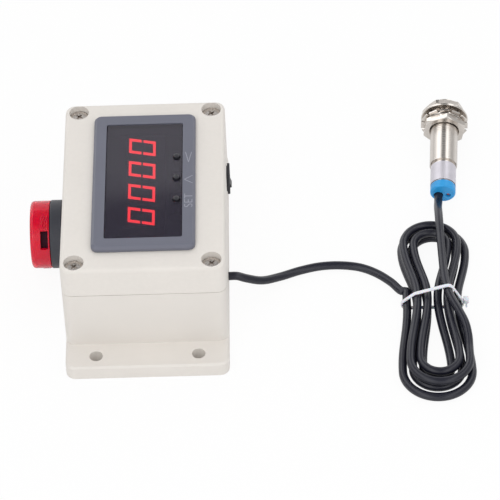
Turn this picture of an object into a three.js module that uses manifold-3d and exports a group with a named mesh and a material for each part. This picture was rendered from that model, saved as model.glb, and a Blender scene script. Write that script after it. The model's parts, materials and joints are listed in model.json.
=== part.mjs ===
// Digital tachometer: a wall box with a panel meter, an alarm beacon and a rocker switch,
// wired to a threaded proximity sensor by a cable that is folded into a hank.
// Millimetres, +Z up. The origin is at the centre of the box's underside.
import * as THREE from 'three';
import { mergeVertices } from 'three/addons/utils/BufferGeometryUtils.js';
import Module from 'manifold-3d';

const wasm = await Module();
wasm.setup();

// General clearances
const gap = 0.3;
const overrun = 1;
const sleeveGap = 0.12;

// Enclosure
const caseWidth = 68;
const caseLength = 100;
const caseHeight = 50;
const seamHeight = 35.3;
const wall = 3;
const baseFloor = 3;
const lidPanel = 2.8;
const caseCorner = 4;
const lidEdgeRound = 1.6;
const earReach = 13.4;
const earThickness = 6.6;
const earCorner = 4;
const earEdge = 0.8;
const earHoleDiameter = 5.6;
const earHoleInset = 6.6;
const earHoleSpacing = 42.6;
const postRadius = 4.9;
const grooveWidth = 1.6;
const grooveDepth = 1.5;

// Lid screws
const screwInsetX = 5.8;
const screwInsetY = 5.1;
const screwHeadDiameter = 7.8;
const screwHeadHeight = 2.3;
const screwHeadDepth = 2.3;
const screwHeadSide = 0.8;
const screwHeadFlat = 0.36;
const screwShankDiameter = 3.9;
const screwLength = 21;
const screwCrossDepth = 1.2;
const screwCrossWidth = 0.9;
const screwCrossReach = 4.2;

// Panel meter
const bezelWidth = 43;
const bezelLength = 80;
const bezelRise = 2.6;
const bezelChamfer = 1.1;
const bezelCorner = 3;
const meterX = 0.2;
const meterY = 0.15;
const tubWidth = 38.2;
const tubLength = 75.2;
const tubDepth = 18;
const tubWall = 1.5;
const tubCorner = 1.2;
const barbReach = 1.1;
const barbLength = 9;
const barbHeight = 3.2;
const windowWidth = 32.2;
const windowLength = 68.1;
const windowY = -0.15;
const windowRecess = 0.3;
const windowThickness = 1.5;
const windowCorner = 0.8;
const ledge = 0.75;
const ledgeThickness = 0.9;
const rearCoverThickness = 1.6;

// Display, keys and boards
const digitCount = 4;
const digitPitch = 13.76;
const digitHeight = 11.2;
const digitWidth = 8.4;
const digitStroke = 1.1;
const digitLean = 2.5;
const digitRowY = 1.02;
const digitX = -0.75;
const digitBase = 0.4;
const segmentRise = 0.5;
const segmentGap = 0.28;
const pocketMargin = 0.9;
const displayWidth = 19.4;
const displayLength = 55.6;
const displayHeight = 7.6;
const keyCount = 3;
const keyPitch = 12.7;
const keyX = 13.8;
const keyRowY = 0.45;
const keyDiameter = 2.6;
const keyTravel = 0.3;
const keyAboveWindow = 1.3;
const tactSize = 6;
const tactHeight = 3.6;
const tactFloor = 1;
const boardThickness = 1.6;
const boardGap = 4.2;
const boardCorner = 0.8;
const chipWidth = 7;
const chipLength = 9;
const chipHeight = 1.5;
const chipX = -6;
const chipY = 6;
const capacitorDiameter = 6.3;
const capacitorHeight = 3.4;
const capacitorX = 9;
const capacitorY = 20;
const headerWidth = 2.5;
const headerLength = 20.3;
const headerInset = 1.55;
const headerY = 2;
const terminalMargin = 4.6;
const terminalDepth = 8.2;
const terminalHeight = 10;
const terminalInset = 5.2;
const terminalWays = 5;
const terminalPort = 3;
const terminalPortDepth = 4;

// Alarm beacon
const beaconY = 3.2;
const beaconZ = 19;
const beaconDiameter = 29;
const lensDiameter = 28.6;
const sealThickness = 1;
const collarLength = 5;
const collarEdge = 0.5;
const beaconThread = 21.6;
const beaconReach = 9;
const beaconBore = 17;
const boardRecess = 23;
const boardRecessDepth = 3;
const lensLength = 9.1;
const lensWall = 1.5;
const lensRound = 1.6;
const lensSpigot = 4.6;
const lensDome = 1;
const soundSlotWidth = 3.15;
const soundSlotInset = 0.6;
const soundSlotAngle = 32;
const soundSlotCount = 3;
const soundSlotTurn = -56;
const ledBoardThickness = 1.2;
const ledDiameter = 5;
const ledHeight = 3.8;
const buzzerHeight = 5;
const beaconNutFlats = 26;
const beaconNutThickness = 4;
const beaconPlateThickness = 2;
const beaconPinLength = 4;
const beaconPinSize = 1.2;
const beaconPinSpacing = 6;

// Rocker switch
const switchY = 24.4;
const switchZ = 28.4;
const switchFrameLength = 11.4;
const switchFrameWidth = 7.5;
const switchFrameRise = 1.1;
const switchFrameEdge = 0.2;
const switchBodyLength = 9.6;
const switchBodyWidth = 5.8;
const switchBodyDepth = 9;
const switchWall = 0.7;
const switchFloor = 1.5;
const rockerReach = 3.75;
const rockerTilt = 11;
const rockerPivotDepth = 1;
const rockerCornerAngle = 15.7;
const rockerDish = 0.35;
const rockerBelly = 2.6;
const trunnionDiameter = 1.3;
const trunnionReach = 0.35;
const switchBladeLength = 3.6;
const switchBladeWidth = 2.2;
const switchBladeThickness = 0.5;
const switchBladeSpacing = 5;

// Battery
const batteryWidth = 26.5;
const batteryLength = 48.5;
const batteryHeight = 17.5;
const batteryClearance = 0.85;
const batteryY = 15.5;
const batteryCorner = 2;
const snapThickness = 4;
const snapHeight = 13;
const batteryRibHeight = 7;
const batteryRibThickness = 1.4;

// Sensor cable
const cordDiameter = 3.6;
const cordExitY = -17.8;
const cordExitZ = 12;
const cordInsideReach = 13;
const cordInsideEnd = 0.4;
const strainTieWidth = 2.4;
const strainTieWall = 1.4;
const strainTieHead = 4.4;
const wireDiameter = 1.3;

// Hank of the cable: its outermost centreline, seen from above
const hankX = 120.6;
const hankWaistY = -28;
const hankWaistHalf = 11.8;
const hankNearHalf = 15.5;
const hankFarHalf = 16.8;
const hankNearTip = -82;
const hankFarTip = 20;
const hankStep = 4.25;
const hankNearTipStep = 5.4;
const hankFarTipStep = 4.7;
const hankNearTipLayer = 2.4;
const hankFarTipLayer = 1.4;
const hankLayer = 4.05;
const hankRest = 0.06;
const hankTurnBack = 2.52;
const hankEndLoops = 4;
const tieThickness = 0.55;
const tieWidth = 1.6;
const tieClearance = 0.3;
const tieLiftReach = 20;

// Route of the cable from the box to the hank, and from the hank to the sensor
const leadRoute = [
  [33.9, -17.8, 12],
  [37.5, -17.8, 12],
  [41.5, -17.3, 9.9],
  [48, -14.6, 5.6],
  [55.6, -9.9, 2.7],
  [64.2, -5.8, 1.9],
  [72.8, -3.6, 1.9],
  [81.3, -3.3, 1.9],
  [89.8, -4.9, 1.9],
  [96.6, -8.6, 1.9],
  [102.6, -14.2, 2],
  [106.9, -20, 2.4],
];
const tailRoute = [
  [133.3, -51.5, 7.3],
  [132.3, -46, 9.3],
  [129.8, -39.5, 10.5],
  [127.2, -33, 10.9],
  [125.4, -25, 10.9],
  [124.8, -17, 10.7],
  [124.6, -8, 10.3],
  [124.4, 4, 10],
  [124.3, 13, 10],
  [124.3, 20, 8.8],
  [124.4, 26, 6.3],
];

// Proximity sensor, measured along its axis from the cable end
const sensorX = 126.9;
const sensorY = 34.6;
const sensorLift = 0.25;
const sensorYaw = -3.6;
const sensorLength = 48.9;
const threadDiameter = 12;
const threadStart = 15.4;
const sensorRearDiameter = 10.4;
const sensorBore = 8.8;
const capDiameter = 11;
const capLength = 3.7;
const capSpigot = 3;
const capCableX = -1.9;
const capCableY = 0.9;
const capCableDepth = 3;
const capLedX = 2.3;
const capLedY = 0.9;
const capLedHole = 2.4;
const capLedDepth = 2.5;
const capLedRecess = 0.8;
const labelLength = 9.8;
const labelThickness = 0.22;
const noseThickness = 1.2;
const coilLength = 6;
const sensorBoardLength = 26;
const sensorBoardWidth = 7.6;
const nutFlats = 17;
const nutThickness = 3;
const nutChamfer = 0.6;
const nutRearTurn = 38;
const nutFrontTurn = 8;
const nutStation = 35.2;
const washerDiameter = 20.5;
const washerBand = 1.5;
const washerThickness = 1;
const washerGap = 2.5;
const washerTeeth = 12;
const washerToothShare = 0.8;

// Facets
const cornerSteps = 4;
const finePitchSides = 32;
const roundSides = 24;
const smallSides = 12;
const cordSides = 8;
const wireSides = 6;
const hankSides = 6;
const stepsPerLoop = 24;
const stepsInHalfRun = 3;
const stepsInFold = 7;
const stepsInRun = 5;

// Derived sizes
const degree = Math.PI / 180;
const lidBottom = seamHeight + gap;
const bezelTop = caseHeight + gap + bezelRise;
const windowTop = bezelTop - windowRecess;
const windowFlangeTop = bezelTop - ledgeThickness - gap;
const windowBottom = windowFlangeTop - windowThickness;
const displayTop = windowBottom - gap;
const displayBottom = displayTop - displayHeight;
const frontBoardTop = displayBottom - gap;
const frontBoardBottom = frontBoardTop - boardThickness;
const rearBoardTop = frontBoardBottom - boardGap;
const rearBoardBottom = rearBoardTop - boardThickness;
const tubBottom = caseHeight - tubDepth;
const boardWidth = tubWidth - 2 * tubWall - 2 * gap;
const boardLength = tubLength - 2 * tubWall - 2 * gap;
const keyHole = keyDiameter + 2 * gap;
const headerX = meterX - boardWidth / 2 + headerInset + headerWidth / 2;
const terminalWidth = boardWidth - 2 * terminalMargin;
const terminalY = meterY - boardLength / 2 + terminalInset + terminalDepth / 2;
const beaconPinEnd = -caseWidth / 2 + beaconReach + beaconPinLength;
const batteryX = beaconPinEnd + wireDiameter + batteryClearance + batteryWidth / 2;
const screwSeat = caseHeight - screwHeadDepth - screwHeadHeight - gap;
const nutCorners = nutFlats / Math.cos(Math.PI / 6);
const cordRadius = cordDiameter / 2;

// Finishes
const finish = (color, roughness, metalness = 0, opacity = 1) =>
  new THREE.MeshStandardMaterial({ color, roughness, metalness, opacity, transparent: opacity < 1 });
const finishes = {
  casePlastic: finish(0xe4e0db, 0.55),
  rubber: finish(0x2a2a2c, 0.85),
  nickel: finish(0xcfcbc8, 0.25, 1),
  bezelPlastic: finish(0x717682, 0.5),
  smokedAcrylic: finish(0x3a323f, 0.08, 0, 0.7),
  blackPlastic: finish(0x222226, 0.45),
  litSegment: finish(0xff3646, 0.4),
  board: finish(0x1d6b3a, 0.5),
  chip: finish(0x202022, 0.6),
  aluminiumCan: finish(0xbfc1c4, 0.35, 1),
  terminalPlastic: finish(0x2c8c4a, 0.5),
  redLens: finish(0xd81e38, 0.2, 0, 0.8),
  whiteLed: finish(0xf2efe6, 0.3),
  brass: finish(0xc9a24a, 0.35, 1),
  batteryJacket: finish(0x3c4048, 0.4, 0.3),
  cableJacket: finish(0x26262a, 0.5),
  wireJacket: finish(0xb0302a, 0.5),
  whiteTie: finish(0xeef0f4, 0.5),
  blueCap: finish(0x1e8ce6, 0.4),
  label: finish(0xd9d8dc, 0.4, 0.3),
  ferrite: finish(0x3a3432, 0.7),
};

// Turns a closed surface into a solid, whichever way its faces were wound
function solidOf(geometry) {
  const bare = geometry.clone();
  bare.deleteAttribute('normal');
  bare.deleteAttribute('uv');
  const merged = mergeVertices(bare);
  const place = merged.attributes.position;
  const corner = [new THREE.Vector3(), new THREE.Vector3(), new THREE.Vector3()];
  const kept = [];
  let volume = 0;
  for (let i = 0; i < merged.index.count; i += 3) {
    const [a, b, c] = [0, 1, 2].map((k) => merged.index.getX(i + k));
    if (a === b || b === c || c === a) continue;
    kept.push(a, b, c);
    corner[0].fromBufferAttribute(place, a);
    corner[1].fromBufferAttribute(place, b);
    corner[2].fromBufferAttribute(place, c);
    volume += corner[0].dot(corner[1].cross(corner[2]));
  }
  if (volume < 0) kept.reverse();
  return new wasm.Manifold(
    new wasm.Mesh({
      numProp: 3,
      vertProperties: new Float32Array(place.array),
      triVerts: new Uint32Array(kept),
    }),
  );
}

function geometryOf(solid) {
  const mesh = solid.getMesh();
  const geometry = new THREE.BufferGeometry();
  geometry.setAttribute('position', new THREE.BufferAttribute(mesh.vertProperties, 3));
  geometry.setIndex(new THREE.BufferAttribute(mesh.triVerts, 1));
  geometry.computeVertexNormals();
  return geometry;
}

function join(...parts) {
  return geometryOf(parts.map(solidOf).reduce((whole, part) => whole.add(part)));
}

function cut(work, ...tools) {
  return geometryOf(tools.map(solidOf).reduce((whole, tool) => whole.subtract(tool), solidOf(work)));
}

// A box between two opposite corners
function block([x0, y0, z0], [x1, y1, z1]) {
  const geometry = new THREE.BoxGeometry(x1 - x0, y1 - y0, z1 - z0);
  return geometry.translate((x0 + x1) / 2, (y0 + y1) / 2, (z0 + z1) / 2);
}

// A box centred on a point in plan, between two heights
function pad(width, length, bottom, top, x = 0, y = 0) {
  return block([x - width / 2, y - length / 2, bottom], [x + width / 2, y + length / 2, top]);
}

// A round rod along Z
function rod(diameter, bottom, top, x = 0, y = 0, sides = smallSides) {
  const geometry = new THREE.CylinderGeometry(diameter / 2, diameter / 2, top - bottom, sides);
  return geometry.rotateX(Math.PI / 2).translate(x, y, (bottom + top) / 2);
}

// A hexagonal bar along Z, given across its flats
function hexagon(flats, bottom, top, turn = 0) {
  const radius = flats / 2 / Math.cos(Math.PI / 6);
  const geometry = new THREE.CylinderGeometry(radius, radius, top - bottom, 6);
  return geometry.rotateX(Math.PI / 2).rotateZ(turn).translate(0, 0, (bottom + top) / 2);
}

// A solid of revolution about Z from points of [radius, height]
function turned(profile, sides = roundSides) {
  const points = profile.map(([radius, height]) => new THREE.Vector2(radius, height));
  if (profile[0][0] > 0) points.push(points[0].clone());
  return new THREE.LatheGeometry(points, sides).rotateX(Math.PI / 2);
}

// A rounded rectangle's corner points, anticlockwise
function roundedPoints(width, length, corner) {
  const points = [];
  const signs = [[1, 1], [-1, 1], [-1, -1], [1, -1]];
  signs.forEach(([sx, sy], quarter) => {
    for (let i = 0; i <= cornerSteps; i += 1) {
      const angle = (quarter + i / cornerSteps) * (Math.PI / 2);
      points.push([
        sx * (width / 2 - corner) + corner * Math.cos(angle),
        sy * (length / 2 - corner) + corner * Math.sin(angle),
      ]);
    }
  });
  return points;
}

// A rounded slab built of levels of [height, inset from the outline]
function slab(width, length, corner, levels, x = 0, y = 0) {
  const rings = levels.map(([height, inset]) =>
    roundedPoints(width - 2 * inset, length - 2 * inset, Math.max(corner - inset, corner / cornerSteps)).map(
      ([px, py]) => [px + x, py + y, height],
    ),
  );
  return closedSkin(rings);
}

// The closed surface through rings of equal count, with a flat end on the first and the last
function closedSkin(rings) {
  const count = rings[0].length;
  const positions = rings.flat(2);
  const faces = [];
  for (let r = 0; r + 1 < rings.length; r += 1) {
    for (let i = 0; i < count; i += 1) {
      const a = r * count + i;
      const b = r * count + ((i + 1) % count);
      faces.push(a, b, b + count, a, b + count, a + count);
    }
  }
  const last = (rings.length - 1) * count;
  for (let i = 1; i + 1 < count; i += 1) {
    faces.push(0, i + 1, i, last, last + i, last + i + 1);
  }
  const geometry = new THREE.BufferGeometry();
  geometry.setAttribute('position', new THREE.Float32BufferAttribute(positions, 3));
  geometry.setIndex(faces);
  return geometry;
}

// The smooth curve through a route's points
function smoothCurve(route) {
  return new THREE.CatmullRomCurve3(route.map((point) => new THREE.Vector3(...point)), false, 'centripetal');
}

// A round tube along a smooth route
function tube(route, diameter, sides, stepLength) {
  const curve = smoothCurve(route);
  const section = new THREE.Shape();
  const corners = [];
  for (let i = 0; i < sides; i += 1) {
    const angle = ((i + 0.5) / sides) * 2 * Math.PI;
    corners.push(new THREE.Vector2((diameter / 2) * Math.cos(angle), (diameter / 2) * Math.sin(angle)));
  }
  section.setFromPoints(corners);
  const steps = Math.ceil(curve.getLength() / stepLength);
  return new THREE.ExtrudeGeometry(section, { steps, extrudePath: curve, bevelEnabled: false });
}

const tachometer = new THREE.Group();

function addPiece(group, name, geometry, material) {
  const mesh = new THREE.Mesh(geometryOf(solidOf(geometry)), material);
  mesh.name = name;
  group.add(mesh);
  return mesh;
}

// Four places that mirror each other about the centre
const fourPlaces = (spacingX, spacingY) =>
  [[-1, -1], [1, -1], [-1, 1], [1, 1]].map(([sx, sy]) => [(sx * spacingX) / 2, (sy * spacingY) / 2]);

// A ring of some width along the middle of the box's rim, between two heights
function rimRing(width, bottom, top) {
  const side = (reach, low, high) =>
    slab(caseWidth - wall + reach, caseLength - wall + reach, caseCorner - (wall - reach) / 2, [
      [low, 0],
      [high, 0],
    ]);
  return cut(side(width, bottom, top), side(-width, bottom - overrun, top + overrun));
}

// Enclosure: a tray with two ears, a lid and a seal in the tray's rim
function buildEnclosure() {
  const posts = fourPlaces(caseWidth - 2 * screwInsetX, caseLength - 2 * screwInsetY);
  const innerWidth = caseWidth - 2 * wall;
  const innerLength = caseLength - 2 * wall;
  const innerCorner = caseCorner - wall;
  const earHoleSpan = caseLength + 2 * earReach - 2 * earHoleInset;
  const screwHole = screwShankDiameter + 2 * gap;
  const tray = cut(
    slab(caseWidth, caseLength, caseCorner, [[0, 0], [seamHeight, 0]]),
    slab(innerWidth, innerLength, innerCorner, [[baseFloor, 0], [seamHeight + overrun, 0]]),
  );
  const ears = slab(caseWidth, caseLength + 2 * earReach, earCorner, [
    [0, 0],
    [earThickness - earEdge, 0],
    [earThickness, earEdge],
  ]);
  const earsAlone = cut(ears, pad(innerWidth, innerLength, baseFloor, caseHeight));
  const ribs = [-1, 1].map((side) => {
    const middle = batteryY + side * (batteryLength / 2 + gap + batteryRibThickness / 2);
    const outside = side < 0 ? middle - snapThickness - gap : middle;
    const top = baseFloor + batteryRibHeight;
    return pad(batteryWidth, batteryRibThickness, baseFloor / 2, top, batteryX, outside);
  });
  const columns = posts.map(([x, y]) => rod(2 * postRadius, baseFloor / 2, seamHeight, x, y, roundSides));
  const groove = rimRing(grooveWidth, seamHeight - grooveDepth, seamHeight + overrun);
  const beaconHole = rod(beaconThread + 2 * gap, -wall - overrun, wall + overrun, 0, 0, finePitchSides);
  beaconHole.rotateY(Math.PI / 2).translate(-caseWidth / 2, beaconY, beaconZ);
  const switchHoleY = switchBodyWidth / 2 + gap;
  const switchHoleZ = switchBodyLength / 2 + gap;
  const switchHole = block(
    [caseWidth / 2 - wall - overrun, switchY - switchHoleY, switchZ - switchHoleZ],
    [caseWidth / 2 + overrun, switchY + switchHoleY, switchZ + switchHoleZ],
  );
  const cordHole = rod(cordDiameter + 2 * gap, -wall - overrun, overrun);
  cordHole.rotateY(Math.PI / 2).translate(caseWidth / 2, cordExitY, cordExitZ);
  const base = cut(
    join(tray, earsAlone, ...columns, ...ribs),
    groove,
    beaconHole,
    switchHole,
    cordHole,
    ...posts.map(([x, y]) => rod(screwHole, baseFloor, seamHeight + overrun, x, y)),
    ...fourPlaces(earHoleSpacing, earHoleSpan).map(([x, y]) =>
      rod(earHoleDiameter, -overrun, earThickness + overrun, x, y, roundSides),
    ),
  );
  addPiece(tachometer, 'enclosure_base', base, finishes.casePlastic);

  const edge = [];
  for (let i = 0; i <= cornerSteps; i += 1) {
    const angle = (i / cornerSteps) * (Math.PI / 2);
    edge.push([caseHeight - lidEdgeRound * (1 - Math.sin(angle)), lidEdgeRound * (1 - Math.cos(angle))]);
  }
  const cap = slab(caseWidth, caseLength, caseCorner, [[lidBottom, 0], ...edge]);
  const hollow = slab(innerWidth, innerLength, innerCorner, [
    [lidBottom - overrun, 0],
    [caseHeight - lidPanel, 0],
  ]);
  const columnTop = caseHeight - lidPanel / 2;
  const lidColumns = posts.map(([x, y]) => rod(2 * postRadius, lidBottom, columnTop, x, y, roundSides));
  const openingTop = caseHeight + overrun;
  const opening = pad(tubWidth + 2 * gap, tubLength + 2 * gap, seamHeight, openingTop, meterX, meterY);
  const wells = posts.flatMap(([x, y]) => [
    rod(screwHeadDiameter + 2 * gap, screwSeat, caseHeight + overrun, x, y, roundSides),
    rod(screwHole, seamHeight, caseHeight, x, y),
  ]);
  const lid = cut(join(cut(cap, hollow), ...lidColumns), opening, ...wells);
  addPiece(tachometer, 'enclosure_lid', lid, finishes.casePlastic);

  const seal = rimRing(grooveWidth - 2 * gap, seamHeight - grooveDepth + gap, seamHeight);
  addPiece(tachometer, 'lid_gasket', seal, finishes.rubber);

  posts.forEach(([x, y], i) => {
    const seat = screwSeat + gap;
    const top = seat + screwHeadHeight;
    const crown = turned([
      [0, seat],
      [screwHeadDiameter / 2, seat],
      [screwHeadDiameter / 2, seat + screwHeadHeight * screwHeadSide],
      [screwHeadDiameter * screwHeadFlat, top],
      [0, top],
    ], smallSides);
    const slots = [0, Math.PI / 2].map((turn) =>
      pad(screwCrossReach, screwCrossWidth, top - screwCrossDepth, top + overrun).rotateZ(turn),
    );
    const screw = cut(join(crown, rod(screwShankDiameter, seat - screwLength, seat + gap)), ...slots);
    addPiece(tachometer, `lid_screw_${i + 1}`, screw.translate(x, y, 0), finishes.nickel);
  });
}

// Panel meter: its housing with the bezel, the smoked window and the rear cover
function buildMeter() {
  const innerWidth = tubWidth - 2 * tubWall;
  const innerLength = tubLength - 2 * tubWall;
  const bezel = slab(bezelWidth, bezelLength, bezelCorner, [
    [caseHeight + gap, 0],
    [bezelTop - bezelChamfer, 0],
    [bezelTop, bezelChamfer],
  ], meterX, meterY);
  const tub = slab(tubWidth, tubLength, tubCorner, [
    [tubBottom, 0],
    [caseHeight + bezelRise / 2, 0],
  ], meterX, meterY);
  const barbTop = caseHeight - lidPanel - gap;
  const barbs = [-1, 1].map((side) => {
    const profile = new THREE.Shape();
    profile.moveTo(-tubWall / 2, barbTop - barbHeight);
    profile.lineTo(0, barbTop - barbHeight);
    profile.lineTo(barbReach, barbTop);
    profile.lineTo(-tubWall / 2, barbTop);
    profile.closePath();
    const barb = new THREE.ExtrudeGeometry(profile, { depth: barbLength, bevelEnabled: false });
    barb.translate(0, 0, -barbLength / 2).rotateX(Math.PI / 2).rotateZ((side * Math.PI) / 2);
    return barb.translate(meterX, meterY + (side * tubLength) / 2, 0);
  });
  const inside = pad(innerWidth, innerLength, tubBottom - overrun, windowBottom, meterX, meterY);
  const pocketWidth = windowWidth + 2 * ledge;
  const pocketLength = windowLength + 2 * ledge;
  const pocketTop = bezelTop - ledgeThickness;
  const pocket = pad(pocketWidth, pocketLength, windowBottom - overrun, pocketTop, meterX, windowY);
  const opening = slab(windowWidth, windowLength, windowCorner, [
    [caseHeight, 0],
    [bezelTop + overrun, 0],
  ], meterX, windowY);
  const housing = cut(join(bezel, tub, ...barbs), inside, pocket, opening);
  addPiece(tachometer, 'meter_housing', housing, finishes.bezelPlastic);

  const flangeWidth = pocketWidth - 2 * gap;
  const flangeLength = pocketLength - 2 * gap;
  const flange = pad(flangeWidth, flangeLength, windowBottom, windowFlangeTop, meterX, windowY);
  const raised = slab(windowWidth - 2 * gap, windowLength - 2 * gap, windowCorner - gap, [
    [windowFlangeTop - windowThickness / 2, 0],
    [windowTop, 0],
  ], meterX, windowY);
  const keyHoles = keyPlaces().map((y) =>
    rod(keyHole, windowBottom - overrun, windowTop + overrun, keyX, y, roundSides),
  );
  addPiece(tachometer, 'meter_window', cut(join(flange, raised), ...keyHoles), finishes.smokedAcrylic);

  const coverBottom = tubBottom + gap;
  const cover = slab(boardWidth, boardLength, boardCorner, [
    [coverBottom, 0],
    [coverBottom + rearCoverThickness, 0],
  ], meterX, meterY);
  const portWidth = terminalWidth + 2 * gap;
  const portDepth = terminalDepth + 2 * gap;
  const port = pad(portWidth, portDepth, tubBottom - overrun, rearBoardBottom, meterX, terminalY);
  addPiece(tachometer, 'meter_rear_cover', cut(cover, port), finishes.blackPlastic);
}

// Places of a row of like things at one pitch, about the row's middle
function rowPlaces(count, pitch, middle) {
  return Array.from({ length: count }, (_, i) => middle + (i - (count - 1) / 2) * pitch);
}

const keyPlaces = () => rowPlaces(keyCount, keyPitch, keyRowY);
const digitPlaces = () => rowPlaces(digitCount, digitPitch, digitRowY);
const terminalPlaces = () => rowPlaces(terminalWays, terminalWidth / terminalWays, meterX);

// One bar of a digit with pointed ends, from one place to another in plan
function segmentBar(from, to, bottom, top) {
  const along = new THREE.Vector2(to[0] - from[0], to[1] - from[1]);
  const length = along.length();
  const half = digitStroke / 2;
  const outline = new THREE.Shape();
  outline.moveTo(segmentGap, 0);
  outline.lineTo(segmentGap + half, half);
  outline.lineTo(length - segmentGap - half, half);
  outline.lineTo(length - segmentGap, 0);
  outline.lineTo(length - segmentGap - half, -half);
  outline.lineTo(segmentGap + half, -half);
  outline.closePath();
  const bar = new THREE.ExtrudeGeometry(outline, { depth: top - bottom, bevelEnabled: false });
  return bar.rotateZ(along.angle()).translate(from[0], from[1], bottom);
}

// The display block with a pocket for each digit, and the digits' red light pipes
function buildDisplay() {
  const pocketX = digitHeight + 2 * pocketMargin;
  const pocketY = digitPitch - 2 * pocketMargin;
  const pocketFloor = displayTop - segmentRise - digitBase - gap;
  const body = pad(displayWidth, displayLength, displayBottom, displayTop, digitX, digitRowY);
  const pocketTop = displayTop + overrun;
  const pockets = digitPlaces().map((y) => pad(pocketX, pocketY, pocketFloor, pocketTop, digitX, y));
  addPiece(tachometer, 'display_block', cut(body, ...pockets), finishes.blackPlastic);

  const reach = (digitHeight - digitStroke) / 2;
  const half = (digitWidth - digitStroke) / 2;
  const leanAt = (x) => (-x / digitHeight) * digitLean;
  const corner = (x, y) => [digitX + x, y + leanAt(x)];
  const plateBottom = pocketFloor + gap;
  const plateTop = plateBottom + digitBase;
  const bar = (from, to) => segmentBar(from, to, plateBottom, displayTop);
  digitPlaces().forEach((y, i) => {
    const rows = [-reach, reach].map((x) => bar(corner(x, y - half), corner(x, y + half)));
    const sides = [-half, half].flatMap((side) =>
      [-reach, 0].map((x) => bar(corner(x, y + side), corner(x + reach, y + side))),
    );
    const plate = pad(pocketX - 2 * gap, pocketY - 2 * gap, plateBottom, plateTop, digitX, y);
    addPiece(tachometer, `digit_${i + 1}`, join(plate, ...rows, ...sides), finishes.litSegment);
  });
}

// Keys, their switches, the two boards and what stands on them
function buildElectronics() {
  const tactBottom = frontBoardTop + gap;
  const tactTop = tactBottom + tactHeight;
  keyPlaces().forEach((y, i) => {
    const bore = rod(keyHole, tactBottom + tactFloor, tactTop + overrun, keyX, y);
    const body = cut(pad(tactSize, tactSize, tactBottom, tactTop, keyX, y), bore);
    addPiece(tachometer, `key_switch_${i + 1}`, body, finishes.chip);
    const keyBottom = tactBottom + tactFloor + keyTravel + gap;
    const key = rod(keyDiameter, keyBottom, windowTop + keyAboveWindow, keyX, y, roundSides);
    addPiece(tachometer, `key_${i + 1}`, key, finishes.blackPlastic);
  });
  const board = (bottom) =>
    slab(boardWidth, boardLength, boardCorner, [
      [bottom, 0],
      [bottom + boardThickness, 0],
    ], meterX, meterY);
  addPiece(tachometer, 'display_board', board(frontBoardBottom), finishes.board);
  const headerBottom = rearBoardTop - boardThickness / 2;
  const header = pad(headerWidth, headerLength, headerBottom, frontBoardBottom - gap, headerX, headerY);
  addPiece(tachometer, 'main_board', join(board(rearBoardBottom), header), finishes.board);
  const seat = rearBoardTop + gap;
  const chip = pad(chipWidth, chipLength, seat, seat + chipHeight, chipX, chipY);
  addPiece(tachometer, 'microcontroller', chip, finishes.chip);
  const can = rod(capacitorDiameter, seat, seat + capacitorHeight, capacitorX, capacitorY);
  addPiece(tachometer, 'capacitor', can, finishes.aluminiumCan);
  const terminalTop = rearBoardBottom - gap;
  const terminalBottom = terminalTop - terminalHeight;
  const portTop = terminalBottom + terminalPortDepth;
  const ports = terminalPlaces().map((x) =>
    pad(terminalPort, terminalPort, terminalBottom - overrun, portTop, x, terminalY),
  );
  const shell = pad(terminalWidth, terminalDepth, terminalBottom, terminalTop, meterX, terminalY);
  const terminal = cut(shell, ...ports);
  addPiece(tachometer, 'terminal_block', terminal, finishes.terminalPlastic);
}

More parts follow.
